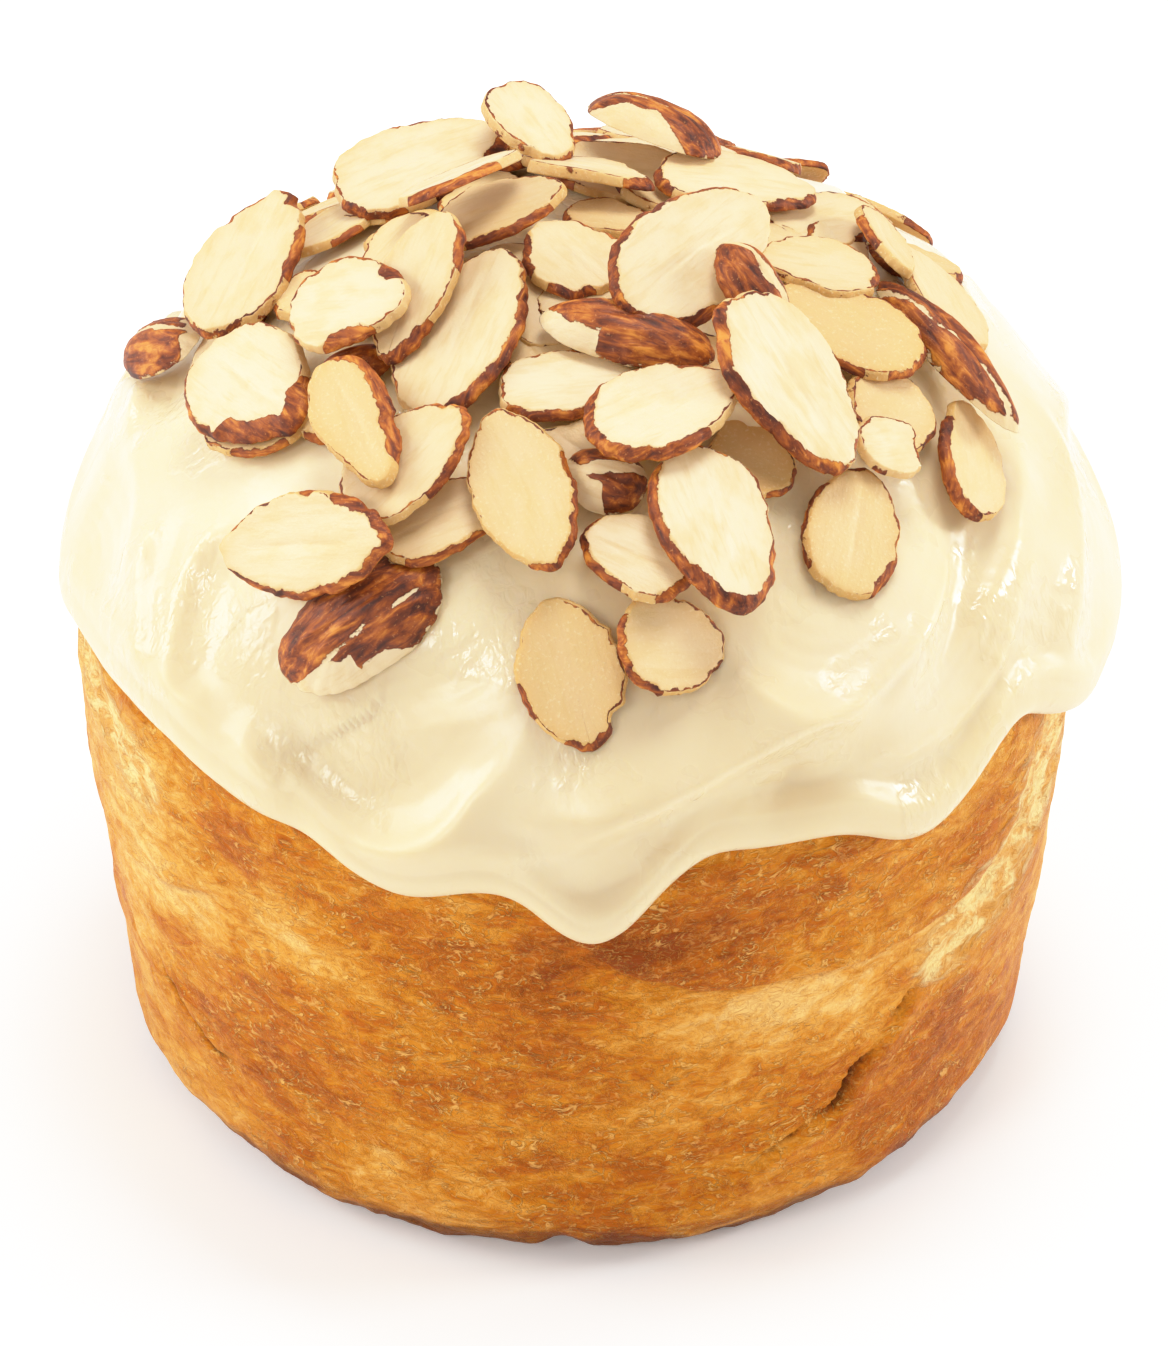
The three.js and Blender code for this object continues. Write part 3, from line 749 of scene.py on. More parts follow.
for place in range(15):
    at = 100 + place * 11.6 + knife.uniform(-4, 4)
    start = knife.uniform(44, 62)
    bend = knife.uniform(-9, 9)
    half_turn = knife.uniform(11, 19)
    slant = knife.uniform(-8, 8)
    sweep = np.linspace(-1, 1, 5)
    path = [(at + half_turn * s, start + bend * (1 - s * s) + slant * s) for s in sweep]
    strokes.append((path, knife.uniform(0.8, 1.5), knife.uniform(1.3, 2.0), knife.uniform(0.6, 1.4),
                    knife.uniform(4, 6.5), int(knife.choice([-1, 1]))))

cream_relief = np.zeros(open_walk.shape)
streak = np.zeros(open_walk.shape)
sway = rough(on_crust(open_walk, 4.0, open_angle), 14.0, 41) * 0.8
for places, lip, lip_width, dish, dish_width, side in strokes:
    apart, walked = from_stroke(open_angle, open_walk, places, 52.0, 26.0)
    apart = (apart + sway) * side
    seen = faded(walked, 0.28, 0.28) * (np.abs(apart) < 800)
    ridge = np.exp(-((apart / np.where(apart > 0, 1.3 * lip_width, 2.4 * lip_width)) ** 2))
    high_side = ease(apart, 1.0, -1.0) * np.exp(-np.clip(-apart, 0, None) / (3.0 * lip_width))
    bowl = hump(apart - 1.05 * dish_width, 0.95 * dish_width)
    fallen = ease(apart, -1.6, 2.0) * np.exp(-np.clip(apart, 0, None) / dish_width)
    cream_relief += seen * (0.70 * lip * ridge + 0.50 * lip * high_side)
    cream_relief -= seen * dish * (0.85 * bowl + 0.60 * fallen)
    streak += seen * hump(apart - dish_width, dish_width) * np.sin(apart * 3.4 + 3 * sway)
ground = on_crust(open_walk, 4.0, open_angle)
cream_relief += 0.55 * lumps(ground, 19.0, 42) + 0.10 * lumps(ground, 7.0, 43) + 0.03 * streak
cream_relief *= ease(open_walk, 4.0, 16.0) * (1 - 0.6 * ease(open_rows, 0.95, 1.0)[:, None])
bead = 0.9 * hump((reach[None, :] - open_walk) - 5.0, 3.2)
below_solid = 0.35
# where the cream is thinner: degrees round, and by how many millimetres
thin_sides = [(-90, 0.9), (90, 0.3)]
thinner = sum(less * hump(around(open_angle, at) - at, 40) for at, less in thin_sides)
thinner = thinner * ease(open_walk, 15.0, 45.0)
open_off = cream_thick - below_solid + cream_relief + bead - thinner
print("knife strokes move the cream by", np.round([cream_relief.min(), cream_relief.max()], 2), "mm")

# %% The rolled edge and the underside
edge_off = open_off[-1]
sunk = 0.9
curl_walk = round_start[None, :] + edge_round * np.sin(curl_rows)[:, None]
curl_off = -sunk + (edge_off + sunk)[None, :] * np.cos(curl_rows)[:, None] ** 0.75
curl_angle = np.broadcast_to(cream_angle, curl_walk.shape)
under_walk = under_rows[:, None] * (reach - 1.5)[None, :]
under_angle = np.broadcast_to(cream_angle, under_walk.shape)
cream_rings = np.concatenate([
    on_crust(open_walk, open_off, open_angle),
    on_crust(curl_walk, curl_off, curl_angle),
    on_crust(under_walk, np.full(under_walk.shape, -sunk), under_angle),
])
edge_nearness = np.concatenate([
    ease(open_walk - round_start[None, :] + 9.0, 0.0, 9.0),
    np.ones(curl_walk.shape),
    np.ones(under_walk.shape),
])
# painted light: the cream near the heap is made paler to lift the shade there, most at the front, where
# the dome gets less light.
painted_light_front_share = 0.35 + 0.65 * hump(around(cream_angle, -10) + 10, 60)
from_middle = np.hypot(cream_rings[..., 0], cream_rings[..., 1])
cream_top = [0.0, 0.0, float(cream_rings[0, :, 2].mean())]
cream = ring_piece("cream", cream_rings, cream_top, [0.0, 0.0, section[0, 1] - sunk], {
    "edge": edge_nearness,
    "heap": (1 - ease(from_middle, 42.0, 57.0)) * painted_light_front_share,
})
print("cream:", len(cream.data.polygons), "faces")

# %% [markdown]
# Cream cheese and butter whipped with sugar let light in a few millimetres, so their shadows are warm
# and soft, and their wet surface gives small sharp highlights. The finish is a pale ivory with a little
# light under the surface and a low, uneven roughness; a fine bump breaks the highlights along the
# knife marks. Painted shade makes it yellower at its rolled edge, and painted light makes it paler
# towards the heap, mostly at the front, to lift the shade that falls there.

# %% Finish of the cream
ivory = Finish("ivory_cream")
smooth_cloud = ivory.noise(ivory.places(), 60.0, 2.0)
wet = ivory.noise(ivory.places(), 75.0, 3.0, 0.6)
dabs = ivory.noise(ivory.places(stretch=(1.0, 1.0, 0.6)), 330.0, 3.0, 0.55, 0.4)
ripples = ivory.noise(ivory.places(stretch=(1.0, 1.0, 0.45), turn=(0.0, 0.5, 0.0)), 800.0, 2.0, 0.5, 0.6)
edge_mark = ivory.mark("edge")
rippled = wet.ease(0.50, 0.60)
colour = ivory.blend(smooth_cloud.ease(0.35, 0.65), paint(218, 197, 159), paint(222, 203, 169))
# painted shade: the rolled edge is tinted a darker yellow, as cream looks where it curls away from the
# light.
colour = ivory.blend(edge_mark * 0.30, colour, paint(212, 189, 144))
# painted light: paler cream near the heap, mostly at the front, lifts the shade that falls there.
colour = ivory.blend(ivory.mark("heap") * 0.80, colour, paint(240, 222, 184))
height = dabs * 0.34 + ripples * (0.06 + 0.74 * rippled)
ivory_cream = ivory.finished(colour, 0.14 + 0.17 * (1 - rippled) + 0.10 * edge_mark, height, 0.00028, {
    "Subsurface Weight": 0.50, "Subsurface Radius": (1.0, 0.80, 0.42), "Subsurface Scale": 0.0025,
    "IOR": 1.46,
})
dress(cream, ivory_cream, "frosting", "frosting")

# %% [markdown]
# ## Almonds
# A flaked almond is a slice cut lengthwise: two pale cut faces and, round them, the nut's own outside.
# Where the brown skin held, a slanted band of it shows; elsewhere the rim is bare and pale. Each packed
# solid says where its slice lies: the largest flat face is the underside, its normal points away from
# the viewer, and its outline gives the long axis and the pointed end.

# %% The place and outline of a slice
def resting_place(name):
    """Axes, middle, outline and thickness of an almond solid. The underside is the group of triangles
    with one shared normal that has the most area; up is the opposite of that normal; the long axis is
    the direction in which the outline's points spread most, pointing to the narrower end."""
    mesh = nodes[name].data
    flat = np.empty(len(mesh.vertices) * 3, np.float32)
    mesh.vertices.foreach_get("co", flat)
    points = flat.reshape(-1, 3).astype(float) / MM
    order = np.empty(len(mesh.loops), np.int32)
    mesh.loops.foreach_get("vertex_index", order)
    triangles = points[order.reshape(-1, 3)]
    cross = np.cross(triangles[:, 1] - triangles[:, 0], triangles[:, 2] - triangles[:, 0])
    area = np.linalg.norm(cross, axis=1)
    normal = cross / np.maximum(area, 1e-9)[:, None]
    alike = normal @ normal.T > 0.9995
    under = alike[(alike * area).sum(axis=1).argmax()]
    up = -(normal[under] * area[under, None]).sum(axis=0)
    up /= np.linalg.norm(up)
    rim = np.unique(np.round(triangles[under].reshape(-1, 3), 3), axis=0)
    middle = rim.mean(axis=0)
    spread = np.linalg.svd(rim - middle)[2]
    long_axis = spread[0] - up * (spread[0] @ up)
    long_axis /= np.linalg.norm(long_axis)
    side = np.cross(up, long_axis)
    flat_rim = np.stack([(rim - middle) @ long_axis, (rim - middle) @ side], axis=1)
    box_middle = (flat_rim.max(axis=0) + flat_rim.min(axis=0)) / 2
    middle = middle + long_axis * box_middle[0] + side * box_middle[1]
    flat_rim -= box_middle
    fore = flat_rim[:, 0] > 0
    if np.abs(flat_rim[fore, 1]).mean() > np.abs(flat_rim[~fore, 1]).mean():
        long_axis, side, flat_rim = -long_axis, -side, -flat_rim
    outer = np.hypot(*flat_rim.T) > 0.3 * flat_rim.max()
    flat_rim = flat_rim[outer]
    flat_rim = flat_rim[np.argsort(np.arctan2(flat_rim[:, 1], flat_rim[:, 0]))]
    thick = float(((points - middle) @ up).max())
    return {"axes": np.stack([long_axis, side, up]), "middle": middle, "rim": flat_rim, "thick": thick}


def closed_line(knots, count):
    """A closed smooth line through knots, at evenly walked places."""
    curve = smooth_steps(*(np.roll(knots, shift, axis=0) for shift in (1, 0, -1, -2)), 16)
    curve = np.concatenate([curve, curve[:1]])
    walked = along(curve)
    even = np.linspace(0, walked[-1], count, endpoint=False)
    return np.stack([np.interp(even, walked, curve[:, k]) for k in range(2)], axis=1)


# %% [markdown]
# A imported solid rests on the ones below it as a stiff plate. Real slices sink and tip further while the
# cream is soft. Some pieces, mostly those on top, settle further here than their solids: most lean
# towards the front and are a little longer or wider, so that more of their faces shows from there. One
# is shorter and one narrower.

# %% Pieces that settled
# lean towards the front in degrees, times longer, times wider, and a step in millimetres
settled = {
    "flake_43": (13, 1.06, 1.04, 0, 0, 0), "flake_33": (8, 1.05, 1.03, 0, 0, 0),
    "flake_34": (18, 1.0, 1.0, 0, 0, 0.4), "flake_27": (12, 0.94, 1.06, 0, 0, 0),
    "flake_46": (12, 1.10, 1.06, -0.8, 0, 0), "flake_24": (7, 1.05, 1.05, 0, 0, 0),
    "flake_25": (5, 1.04, 1.04, 0, 0, 0), "flake_13": (0, 1.06, 1.18, -0.6, 0, 0),
    "flake_10": (15, 1.02, 1.06, 0, 0, 0), "flake_47": (3, 1.04, 1.10, -0.6, 0, 0),
    "flake_38": (7, 1.09, 1.06, 0, 0, 0), "flake_39": (3, 1.06, 1.06, 0, 0, 0),
    "flake_36": (3, 1.10, 1.10, 0, 0, 0), "flake_28": (6, 1.0, 1.05, 0, 0, 0),
    "flake_45": (3, 1.03, 1.07, 0, 0, 0), "flake_48": (0, 1.0, 1.0, -2.2, -0.4, -0.4),
    "flake_14": (0, 1.22, 1.16, 0, 0, 0), "flake_30": (12, 1.0, 1.1, 0, -1.0, 0.5),
    "flake_44": (4, 1.02, 1.05, 0, 0, 0), "flake_49": (0, 1.05, 1.05, -0.8, 0, -1.2),
    "heel_07": (4, 1.18, 0.84, 0.4, 0, 0), "heel_08": (6, 1.14, 1.12, -0.4, 0, 0.2),
    "heel_06": (3, 1.04, 1.0, 0, 0, 0.3), "heel_09": (12, 1.0, 1.15, 0, 0, -0.6),
    "heel_04": (6, 1.16, 1.0, -0.3, 0, 0), "heel_01": (2, 1.06, 1.06, 0, 0, 0),
}


def settle(name, place):
    """A piece's place after it leans, grows and steps: its axes turn about the way from left to right,
    and its outline is stretched along and across."""
    lean, longer, wider, *step = settled.get(name.removeprefix("almond_"), (0, 1.0, 1.0, 0, 0, 0))
    cosine, sine = np.cos(np.radians(lean)), np.sin(np.radians(lean))
    turn_forward = np.array([[1, 0, 0], [0, cosine, sine], [0, -sine, cosine]])
    place["axes"] = place["axes"] @ turn_forward
    place["rim"] = place["rim"] * [longer, wider]
    place["middle"] = place["middle"] + np.array(step)
    return place


places_of = {name: settle(name, resting_place(name)) for name in slices + caps}
longest = max(places_of.values(), key=lambda place: np.ptp(place["rim"][:, 0]))
print("longest slice", round(np.ptp(longest["rim"][:, 0]), 1), "mm, on a solid",
      round(longest["thick"], 1), "mm thick")

# %% [markdown]
# Where skin is left on a slice is a list of bands. Each is a direction from the middle of the slice,
# seen from above with 0 to the right and 270 to the front, half the band's spread in degrees, and how
# deep the band reaches in over the face, in millimetres. The slices at the back draw theirs from a
# seeded list. The first number of each entry is how yellow the face is, from 0 to 1.

# %% Skin bands
skin_bands = {
    "01": (0.8, (200, 14, 1.0), (300, 18, 1.5), (275, 12, 1.2)),
    "02": (0.5, (215, 38, 1.0), (0, 10, 0.4)),
    "03": (0.7, (80, 18, 0.8), (318, 26, 2.0), (180, 50, 0.4)),
    "04": (0.3, (190, 55, 0.9), (318, 25, 1.3)),
    "05": (0.5, (180, 55, 1.4), (245, 30, 1.8), (20, 15, 0.5)),
    "06": (0.4, (285, 50, 0.8)),
    "07": (0.9, (330, 30, 0.7)),
    "08": (0.7, (60, 40, 0.4), (0, 40, 0.5)),
    "09": (0.4, (265, 40, 0.9)),
    "10": (0.9, (345, 40, 0.8), (250, 30, 0.6)),
    "11": (0.5, (270, 40, 1.3), (180, 20, 0.9)),
    "12": (0.4, (300, 30, 0.9), (170, 25, 0.8)),
    "13": (0.5, (100, 22, 1.3), (10, 50, 0.5)),
    "14": (0.1, (255, 12, 0.4)),
    "22": (0.6, (350, 45, 0.7), (300, 25, 0.9)),
    "23": (0.3, (345, 45, 1.1), (40, 28, 1.0)),
    "24": (0.3, (340, 25, 1.3), (200, 20, 0.5)),
    "25": (0.4, (10, 25, 1.3), (90, 30, 0.4)),
    "26": (0.3, (300, 25, 0.9), (60, 20, 1.2)),
    "27": (0.3, (185, 35, 1.2), (270, 25, 1.1)),
    "28": (0.1, (268, 60, 1.0), (0, 15, 0.5)),
    "29": (0.5, (200, 50, 1.2)),
    "30": (0.3, (320, 20, 0.8), (200, 20, 0.6)),
    "31": (0.3, (200, 30, 0.9)),
    "32": (0.3, (350, 35, 1.6)),
    "33": (0.15, (92, 14, 1.6), (5, 16, 2.2), (322, 32, 1.1), (235, 26, 0.5)),
    "34": (0.4, (290, 50, 1.0), (185, 20, 0.6)),
    "35": (0.5, (75, 35, 1.5), (15, 25, 1.4), (180, 12, 0.9)),
    "36": (0.15, (280, 52, 3.6), (190, 32, 1.3), (90, 30, 0.3)),
    "37": (0.8, (10, 62, 2.3), (80, 30, 1.8)),
    "38": (0.2, (332, 48, 1.3), (282, 22, 1.7), (20, 40, 0.4)),
    "39": (0.3, (268, 22, 1.8), (25, 18, 1.3)),
    "40": (0.1, (18, 15, 2.8), (270, 24, 2.6), (180, 25, 0.5)),
    "41": (0.35, (262, 82, 1.3), (78, 13, 1.4), (0, 18, 1.9), (178, 22, 1.2)),
    "42": (0.05, (200, 62, 1.2), (270, 32, 2.3), (328, 30, 1.5)),
    "43": (0.25, (97, 20, 1.7), (348, 30, 1.5), (58, 12, 1.6), (210, 60, 0.3)),
    "44": (0.2, (60, 40, 0.4), (335, 28, 1.1), (190, 20, 1.1)),
    "45": (0.2, (205, 40, 1.8), (270, 55, 1.5), (62, 18, 1.6), (130, 30, 0.4)),
    "46": (0.1, (215, 36, 1.2), (275, 28, 2.0), (350, 20, 1.6), (120, 60, 0.35)),
    "47": (0.05, (205, 50, 1.5), (262, 55, 1.7), (60, 40, 0.3)),
    "48": (0.05, (285, 62, 2.0)),
    "49": (0.2, (20, 55, 0.7), (300, 18, 0.6)),
}
drawn = np.random.default_rng(21)
for name in slices:
    key = name[-2:]
    bands = [(drawn.uniform(0, 360), drawn.uniform(15, 50), drawn.uniform(0.6, 1.9)) for _ in range(3)]
    if key not in skin_bands:
        skin_bands[key] = (drawn.uniform(0.1, 0.7), *bands)
print(len(skin_bands), "slices have their bands of skin")


# %% Outline and face of a slice
spokes = 144
face_steps = 11
rim_steps = 10
thinned = 0.62
raised_share = 0.16


def in_band(heading, direction, spread, soft):
    """1 where a heading is within a band's spread of its direction, 0 outside it, and a smooth step of
    twice soft degrees between."""
    return 1 - ease(np.abs(around(heading, direction) - direction), spread - soft, spread + soft)


def slice_outline(place, number):
    """The outline of a slice, its inward directions, and the points that its noise is read at. The
    solid's outline is scaled by 0.972 + 0.042 * noise, and chips of up to a millimetre are taken out."""
    rim = closed_line(place["rim"], spokes)
    seeded = np.concatenate([rim, np.full((spokes, 1), 7.0 * number)], axis=1)
    rim = rim * (0.972 + 0.042 * lumps(seeded, 4.2, 51))[:, None]
    tangent = np.roll(rim, -1, axis=0) - np.roll(rim, 1, axis=0)
    inwards = np.stack([-tangent[:, 1], tangent[:, 0]], axis=1)
    inwards /= np.linalg.norm(inwards, axis=1, keepdims=True)
    chips = 0.20 * rough(seeded, 1.4, 52) + 1.1 * np.clip(lumps(seeded, 2.8, 53) - 0.42, 0, 1)
    return rim + inwards * chips[:, None], inwards, seeded


def slice_face(top_rim, thick, length, number):
    """The upper face: rows that shrink the inset outline towards the middle, and their height, which
    has a little noise and, on some slices, the shallow seam between the nut's two halves."""
    shrink = np.linspace(0.04, 1.0, face_steps) ** 0.8
    face = top_rim[None] * shrink[:, None, None]
    face_places = np.concatenate([face, np.full(face.shape[:2] + (1,), 9.0 * number)], axis=-1)
    height = thick + 0.15 * lumps(face_places * [0.6, 1, 1], 3.0, 56) * shrink[:, None]
    seam = hump(face[..., 1] + 0.4 * lumps(face_places, 5.0, 57), 0.45) * hump(face[..., 0], 0.55 * length)
    height -= 0.16 * seam * (scatter(np.array([number, 3, 9]), 58) > 0.4)
    return face, height


# %% Shape of a slice
def slice_piece(name, number, key, title):
    """A slice in its own frame, then laid in its place, thinner than its solid and lifted a little to
    lie in its middle. From the outline at the underside the rim rises as a quarter ellipse to the upper
    face, inset = 0.34 mm + 0.52 * the skin band's depth further in. The underside shrinks the outline
    towards the middle. skin is the distance inside the band of skin, negative where the cut is bare."""
    place = places_of[name]
    yellow, *bands = skin_bands[key]
    rim, inwards, seeded = slice_outline(place, number)
    in_plan = rim @ place["axes"][:2, :2]
    heading = np.degrees(np.arctan2(in_plan[:, 1], in_plan[:, 0]))
    depth = np.zeros(spokes)
    for direction, spread, deep in bands:
        depth = np.maximum(depth, deep * in_band(heading, direction, spread, 7))
    width = np.abs(place["rim"][:, 1]).max()
    length = np.abs(place["rim"][:, 0]).max()
    inset = 0.34 + 0.52 * depth * (1 + 0.35 * lumps(seeded, 3.0, 55))
    inset = np.minimum(inset, 0.55 * width)
    top_rim = rim + inwards * inset[:, None]
    face, face_height = slice_face(top_rim, place["thick"] * thinned, length, number)
    rise = np.linspace(0, 1, rim_steps + 1)[1:]
    outwards = np.sin(rise * np.pi / 2) ** 0.9
    rim_rows = top_rim[None] - (inwards * inset[:, None])[None] * outwards[:, None, None]
    rim_height = face_height[-1][None] * (1 - rise[:, None] ** 1.35)
    rim_places = np.concatenate([rim_rows, rim_height[..., None] * 0.5 + 5 * number], axis=-1)
    wrinkle = 0.10 * rough(rim_places, 1.1, 59, 2)
    held = ease(depth, 0.15, 0.6)[None] * np.sin(np.pi * rise)[:, None]
    rim_rows = rim_rows - inwards[None] * (wrinkle * held)[..., None]
    floor_rows = rim[None] * np.array([0.93, 0.5, 0.06])[:, None, None]
    flat = np.concatenate([face, rim_rows, floor_rows])
    height = np.concatenate([face_height, rim_height, np.zeros(floor_rows.shape[:2])])
    bend = 0.8 * (scatter(np.array([number, 5, 1]), 60) - 0.3)
    height = height - bend * (flat[..., 0] / length) ** 2 + 0.12 * (flat[..., 1] / width) ** 2
    local = np.concatenate([flat, height[..., None]], axis=-1)
    raised = raised_share * place["thick"] * place["axes"][2]
    laid = local @ place["axes"] + place["middle"] + raised
    inward = np.concatenate([
        inset + np.linalg.norm(top_rim[None] - face, axis=-1),
        inset * (1 - outwards[:, None]),
        np.full(floor_rows.shape[:2], -0.2),
    ])
    thin_line = 0.32 * ease(lumps(seeded, 7.0, 54), -0.4, 0.1)
    skin = np.maximum(depth * 0.62, thin_line + 0.20)[None] - inward
    bare = ease(depth, 0.12, 0.45)[None]
    skin = np.where(inward < inset[None], np.minimum(skin, (bare - 0.5) * 1.6 + thin_line * 2), skin)
    skin[-3:] = -1.0
    grain = local + np.array([31.0 * number, 17.0 * number, 0.0])
    # painted shade: the yellow mark is raised on the rim walls (side) and along the face's margin
    # (rim_shade_painted), as warm shade on a nut that lets light in; the slice's own yellowness stays
    # under it.
    side = np.concatenate([np.zeros(inward[:face_steps].shape), np.ones(inward[face_steps:].shape)])
    side[face_steps] = 0.5
    rim_shade_painted = 0.5 * np.exp(-np.clip(inward, 0, None) / 1.1) * (1 - side)
    marks = {"skin": skin, "grain": grain * MM, "yellow": np.clip(yellow + 0.9 * side + rim_shade_painted, 0, 1.6)}
    return ring_piece(title, laid, laid[0].mean(axis=0), laid[-1].mean(axis=0), marks)


slice_pieces = [
    slice_piece(name, number, name[-2:], "slice_" + name[-2:]) for number, name in enumerate(slices)
]
print("a slice has", len(slice_pieces[0].data.polygons), "faces")

# %% [markdown]
# Between the large slices lie smaller pieces, low on the cream under the heap. They fill the
# gaps that are left: of many seeded spots, the ones that keep a fair distance from every slice's
# middle and from each other are taken. Each lies on the cream, whose slope there is measured.


# %% Small pieces under the heap
def cream_spot(x, y):
    """The cream's surface and its upward direction over a point of the table, from the cream's rings:
    the ring column nearest to the point's angle gives height over radius, and the normal is the cross
    product of two short steps along the surface."""
    def level(x, y):
        column = int(round(np.degrees(np.arctan2(x, -y)) % 360 / 360 * cream_columns)) % cream_columns
        ring = cream_rings[: len(open_rows), column]
        return float(np.interp(np.hypot(x, y), np.hypot(ring[:, 0], ring[:, 1]), ring[:, 2]))
    here = np.array([x, y, level(x, y)])
    step_x = np.array([x + 4, y, level(x + 4, y)]) - here
    step_y = np.array([x, y + 4, level(x, y + 4)]) - here
    up = np.cross(step_x, step_y)
    return here, up / np.linalg.norm(up)


def chip_place(x, y, turned, long, wide, thick, sunk):
    """A small slice's place on the cream, as resting_place gives for a solid."""
    here, up = cream_spot(x, y)
    heading = np.array([np.cos(np.radians(turned)), np.sin(np.radians(turned)), 0.0])
    long_axis = heading - up * (heading @ up)
    long_axis /= np.linalg.norm(long_axis)
    ring = np.linspace(0, 2 * np.pi, 14, endpoint=False)
    rim = np.stack([long / 2 * np.cos(ring), wide / 2 * np.sin(ring) * (1 - 0.2 * np.cos(ring))], axis=1)
    axes = np.stack([long_axis, np.cross(up, long_axis), up])
    return {"axes": axes, "middle": here - up * sunk, "rim": rim, "thick": thick}


middles = [places_of[name]["middle"][:2] for name in slices + caps]
spots = np.random.default_rng(5)
heap_radius = 39
most_chips = 34
chips = []
for attempt in range(900):
    x, y = spots.uniform(-38, 38), spots.uniform(-36, 44)
    if np.hypot(x, y - 2) > heap_radius or len(chips) >= most_chips:
        continue
    gap = min(np.hypot(*(middle - (x, y))) for middle in middles)
    clear = min([np.hypot(x - chip[0], y - chip[1]) for chip in chips] + [99])
    if 4.5 < gap < 13 and clear > 6.5:
        chips.append((x, y, spots.uniform(0, 360), spots.uniform(10, 15), spots.uniform(7, 9.5)))
for number, (x, y, turned, long, wide) in enumerate(chips):
    name = f"chip_{number + 1:02d}"
    places_of[name] = chip_place(x, y, turned, long, wide, spots.uniform(1.5, 2.0), -0.3)
    bands = [(spots.uniform(0, 360), spots.uniform(15, 60), spots.uniform(0.5, 1.6)) for _ in range(3)]
    skin_bands[name[-2:] + "c"] = (spots.uniform(0.1, 0.9), *bands)
chip_names = [name for name in places_of if name.startswith("chip")]
chip_pieces = [
    slice_piece(name, 70 + number, name[-2:] + "c", name) for number, name in enumerate(chip_names)
]
print(len(chips), "small pieces fill the gaps")

# %% [markdown]
# The first cut takes the side off an almond: a cap that is skin all over its round side. Such a cap is
# a low dome with lengthwise wrinkles, and where it broke, its pale inside shows.

# %% Shape of a cap
# yellow, then pale cuts at its rim (direction, half spread, depth) and pale cracks across its dome
# (offset from its long axis in millimetres, width in millimetres, slant)
bare_cuts = {
    "01": (0.2, [(238, 36, 3.4), (300, 24, 1.2), (30, 14, 1.6)], [(1.8, 0.22, 0.10)]),
    "02": (0.3, [(20, 30, 1.5)], [(0.4, 0.08, 0.1)]),
    "03": (0.4, [(210, 50, 2.0)], [(0.5, 0.8, 0.4)]),
    "04": (0.4, [(330, 30, 1.4)], [(-0.8, 0.4, 0.1)]),
    "05": (0.4, [], []),
    "06": (0.3, [(190, 24, 2.0)], []),
    "07": (0.4, [(300, 8, 1.0)], [(0.9, 0.16, 0.05)]),
    "08": (0.5, [(60, 40, 1.0)], [(1.2, 0.5, 0.1)]),
    "09": (0.5, [(238, 50, 2.5)], [(0.6, 0.08, 0.1)]),
}


def cap_piece(name, number):
    """A cap in its own frame, then laid in its place. Height over the underside at a share s of the way
    out to the rim is thick * (1 - s^2.6)^0.75, with wrinkles along the long axis."""
    place = places_of[name]
    yellow, cuts, cracks = bare_cuts[name[-2:]]
    rim = closed_line(place["rim"], spokes)
    seeded = np.concatenate([rim, np.full((spokes, 1), 11.0 * number)], axis=1)
    rim = rim * (1 + 0.05 * lumps(seeded, 4.0, 61) + 0.03 * rough(seeded, 1.5, 62))[:, None]
    share = np.concatenate([np.linspace(0.04, 0.9, 22), np.linspace(0.92, 1.0, 8)])
    flat = rim[None] * share[:, None, None]
    depth = np.full((1, spokes, 1), 13.0 * number) + 0 * flat[..., :1]
    spot = np.concatenate([flat, depth], axis=-1)
    thick = place["thick"]
    height = thick * np.clip(1 - share ** 2.6, 0, 1)[:, None] ** 0.75 + 0 * flat[..., 0]
    wrinkles = rough(spot * [0.22, 1.0, 1.0], 1.5, 63)
    height += (0.26 * wrinkles + 0.30 * lumps(spot * [0.5, 1, 1], 4.0, 64)) * (1 - share ** 6)[:, None]
    in_plan = flat @ place["axes"][:2, :2]
    heading = np.degrees(np.arctan2(in_plan[..., 1], in_plan[..., 0]))
    from_rim = np.linalg.norm(rim[None] - flat, axis=-1)
    skin = np.full(height.shape, 1.5)
    for direction, spread, deep in cuts:
        inside = in_band(heading, direction, spread, 10)
        skin = np.minimum(skin, from_rim - deep * inside * (1 + 0.3 * lumps(spot, 2.0, 65)))
    for offset, wide, slant in cracks:
        apart = flat[..., 1] - offset - slant * flat[..., 0] + 0.5 * lumps(spot, 4.0, 66)
        skin = np.minimum(skin, np.abs(apart) - wide + 0.5 * lumps(spot * [0.7, 1, 1], 2.2, 67))
    height += 0.16 * ease(skin, -0.1, 0.25) - 0.10
    height = np.maximum(height, 0.05)
    floor_rows = rim[None] * np.array([0.9, 0.5, 0.06])[:, None, None]
    flat_all = np.concatenate([flat, floor_rows])
    height_all = np.concatenate([height, np.zeros(floor_rows.shape[:2])])
    skin_all = np.concatenate([skin, np.full(floor_rows.shape[:2], -1.0)])
    local = np.concatenate([flat_all, height_all[..., None]], axis=-1)
    laid = local @ place["axes"] + place["middle"]
    grain = local + np.array([37.0 * number, 19.0 * number, 5.0])
    marks = {"skin": skin_all, "grain": grain * MM, "yellow": np.full(skin_all.shape, yellow)}
    return ring_piece("cap_" + name[-2:], laid, laid[0].mean(axis=0), laid[-1].mean(axis=0), marks)


cap_pieces = [cap_piece(name, number) for number, name in enumerate(caps)]
print("a cap has", len(cap_pieces[0].data.polygons), "faces")
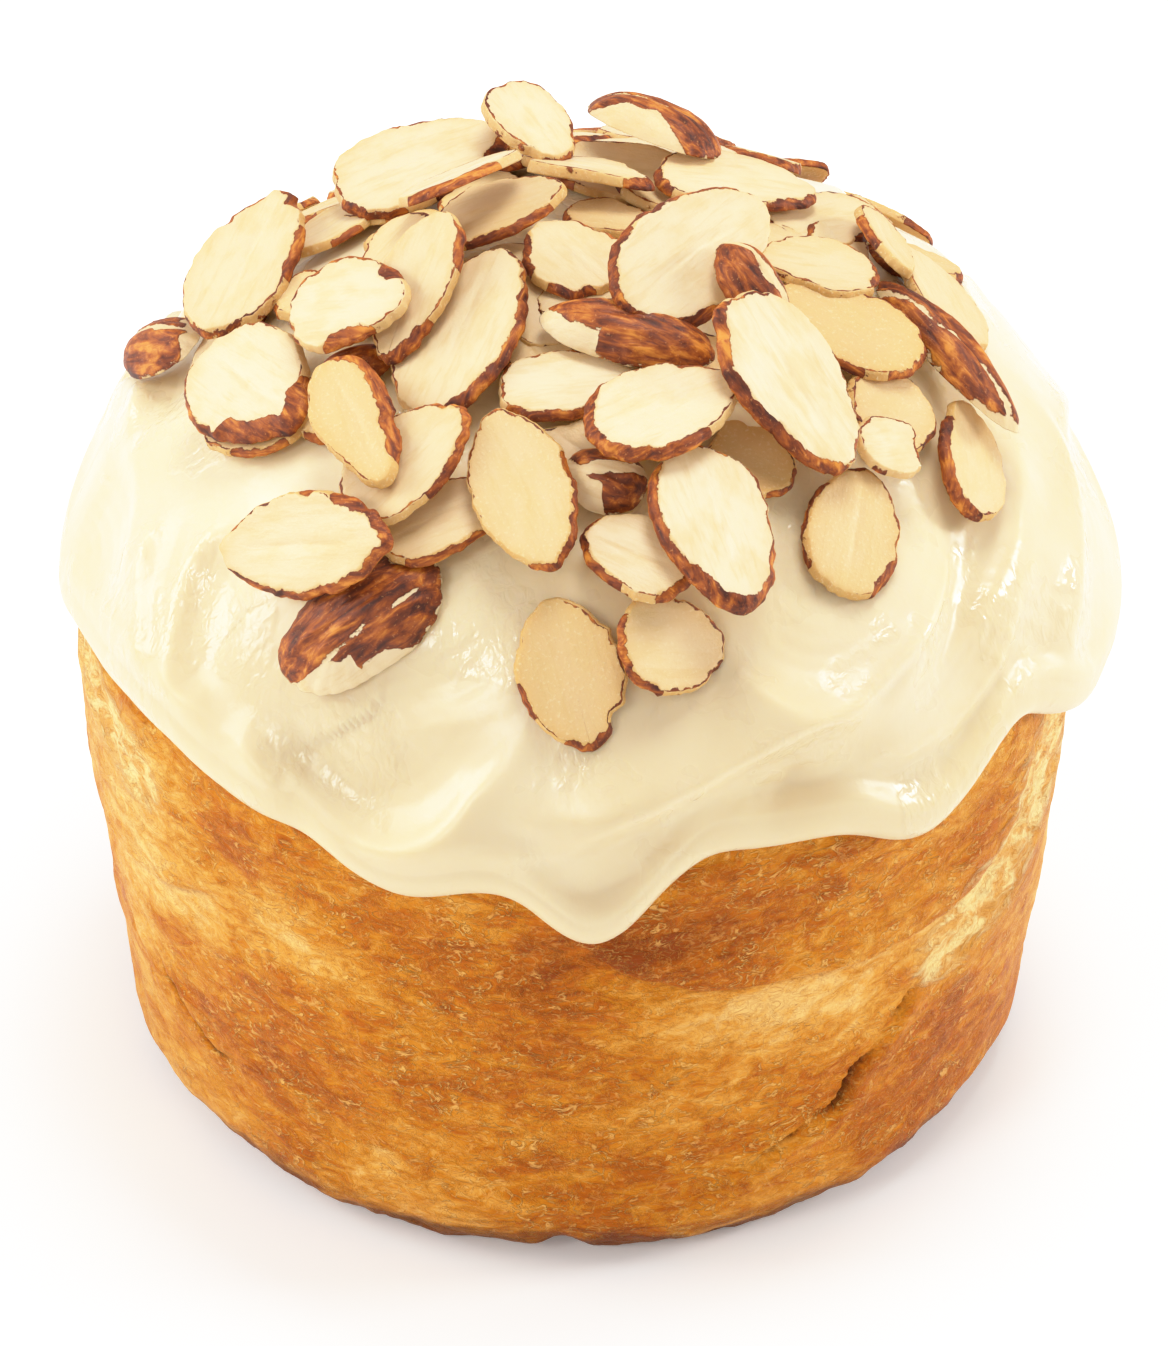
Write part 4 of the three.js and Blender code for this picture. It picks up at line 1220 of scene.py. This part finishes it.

# %% [markdown]
# One finish serves both. A number stored on the mesh says how far inside a band of skin each point is;
# adding noise to it before it is cut at zero makes the torn, pointed edge of real skin. The skin itself
# is orange-brown with darker furrows along the nut, and the cut face is ivory with a fine grain. A
# second number makes the face yellower: each slice's own yellowness, plus painted shade on the rim
# walls and along the face's edge.

# %% Finish of the almonds
nut = Finish("almond_cut_and_skin")
own = nut.mark("grain", "Vector")
along_nut = nut.places(stretch=(0.24, 1.0, 1.0), source=own)
everywhere = nut.places(source=own)
tear = nut.noise(nut.places(stretch=(0.7, 1.0, 1.0), source=own), 900.0, 3.0, 0.6)
furrow = nut.noise(along_nut, 1000.0, 4.0, 0.62, 0.5)
blotch = nut.noise(nut.places(stretch=(0.6, 1.0, 1.0), source=own), 330.0, 3.0, 0.6)
fibre = nut.noise(nut.places(stretch=(0.16, 1.0, 1.0), source=own), 1100.0, 3.0, 0.6, 0.3)
dust = nut.noise(everywhere, 2600.0, 2.0, 0.6)
skin_depth = nut.mark("skin") + (tear - 0.5) * 1.2
skin_mask = skin_depth.ease(-0.04, 0.06)
# each slice's own yellowness, plus painted shade on its rim walls and along the face's margin
yellow = nut.mark("yellow")
face_pale = nut.blend(yellow * 0.8, paint(227, 206, 171), paint(208, 163, 95))
face_colour = nut.blend(blotch.ease(0.42, 0.70) * 0.45, face_pale, paint(212, 178, 118))
face_colour = nut.blend(fibre.ease(0.50, 0.68) * 0.28, face_colour, paint(204, 168, 106))
face_colour = nut.blend(dust.ease(0.55, 0.72) * yellow * 0.25, face_colour, paint(240, 226, 190))
skin_colour = nut.ramp(
    furrow * 0.6 + blotch * 0.4,
    (0.38, paint(70, 24, 4)), (0.47, paint(120, 52, 10)),
    (0.54, paint(160, 82, 18)), (0.64, paint(214, 138, 50)),
)
skin_colour = nut.blend(dust.ease(0.62, 0.72) * 0.35, skin_colour, paint(216, 150, 90))
skin_edge = 1 - skin_depth.ease(0.02, 0.22)
skin_colour = nut.blend(skin_edge * 0.45, skin_colour, paint(96, 38, 10))
colour = nut.blend(skin_mask, face_colour, skin_colour)
cut_height = fibre * 0.35 + dust * (0.12 + 0.35 * yellow)
skin_height = 0.55 + furrow * 0.9 + dust * 0.15
height = cut_height * (1 - skin_mask) + skin_mask * skin_height
roughness = 0.42 + 0.10 * skin_mask + 0.08 * yellow
almond_finish = nut.finished(colour, roughness, height, 0.00016, {
    "Subsurface Weight": 0.18, "Subsurface Radius": (1.0, 0.65, 0.30), "Subsurface Scale": 0.0015,
    "IOR": 1.45,
})
for name, piece in zip(slices, slice_pieces):
    dress(piece, almond_finish, "almond", name)
for name, piece in zip(caps, cap_pieces):
    dress(piece, almond_finish, "almond_skin", name)
for piece in chip_pieces:
    dress(piece, almond_finish, "almond")
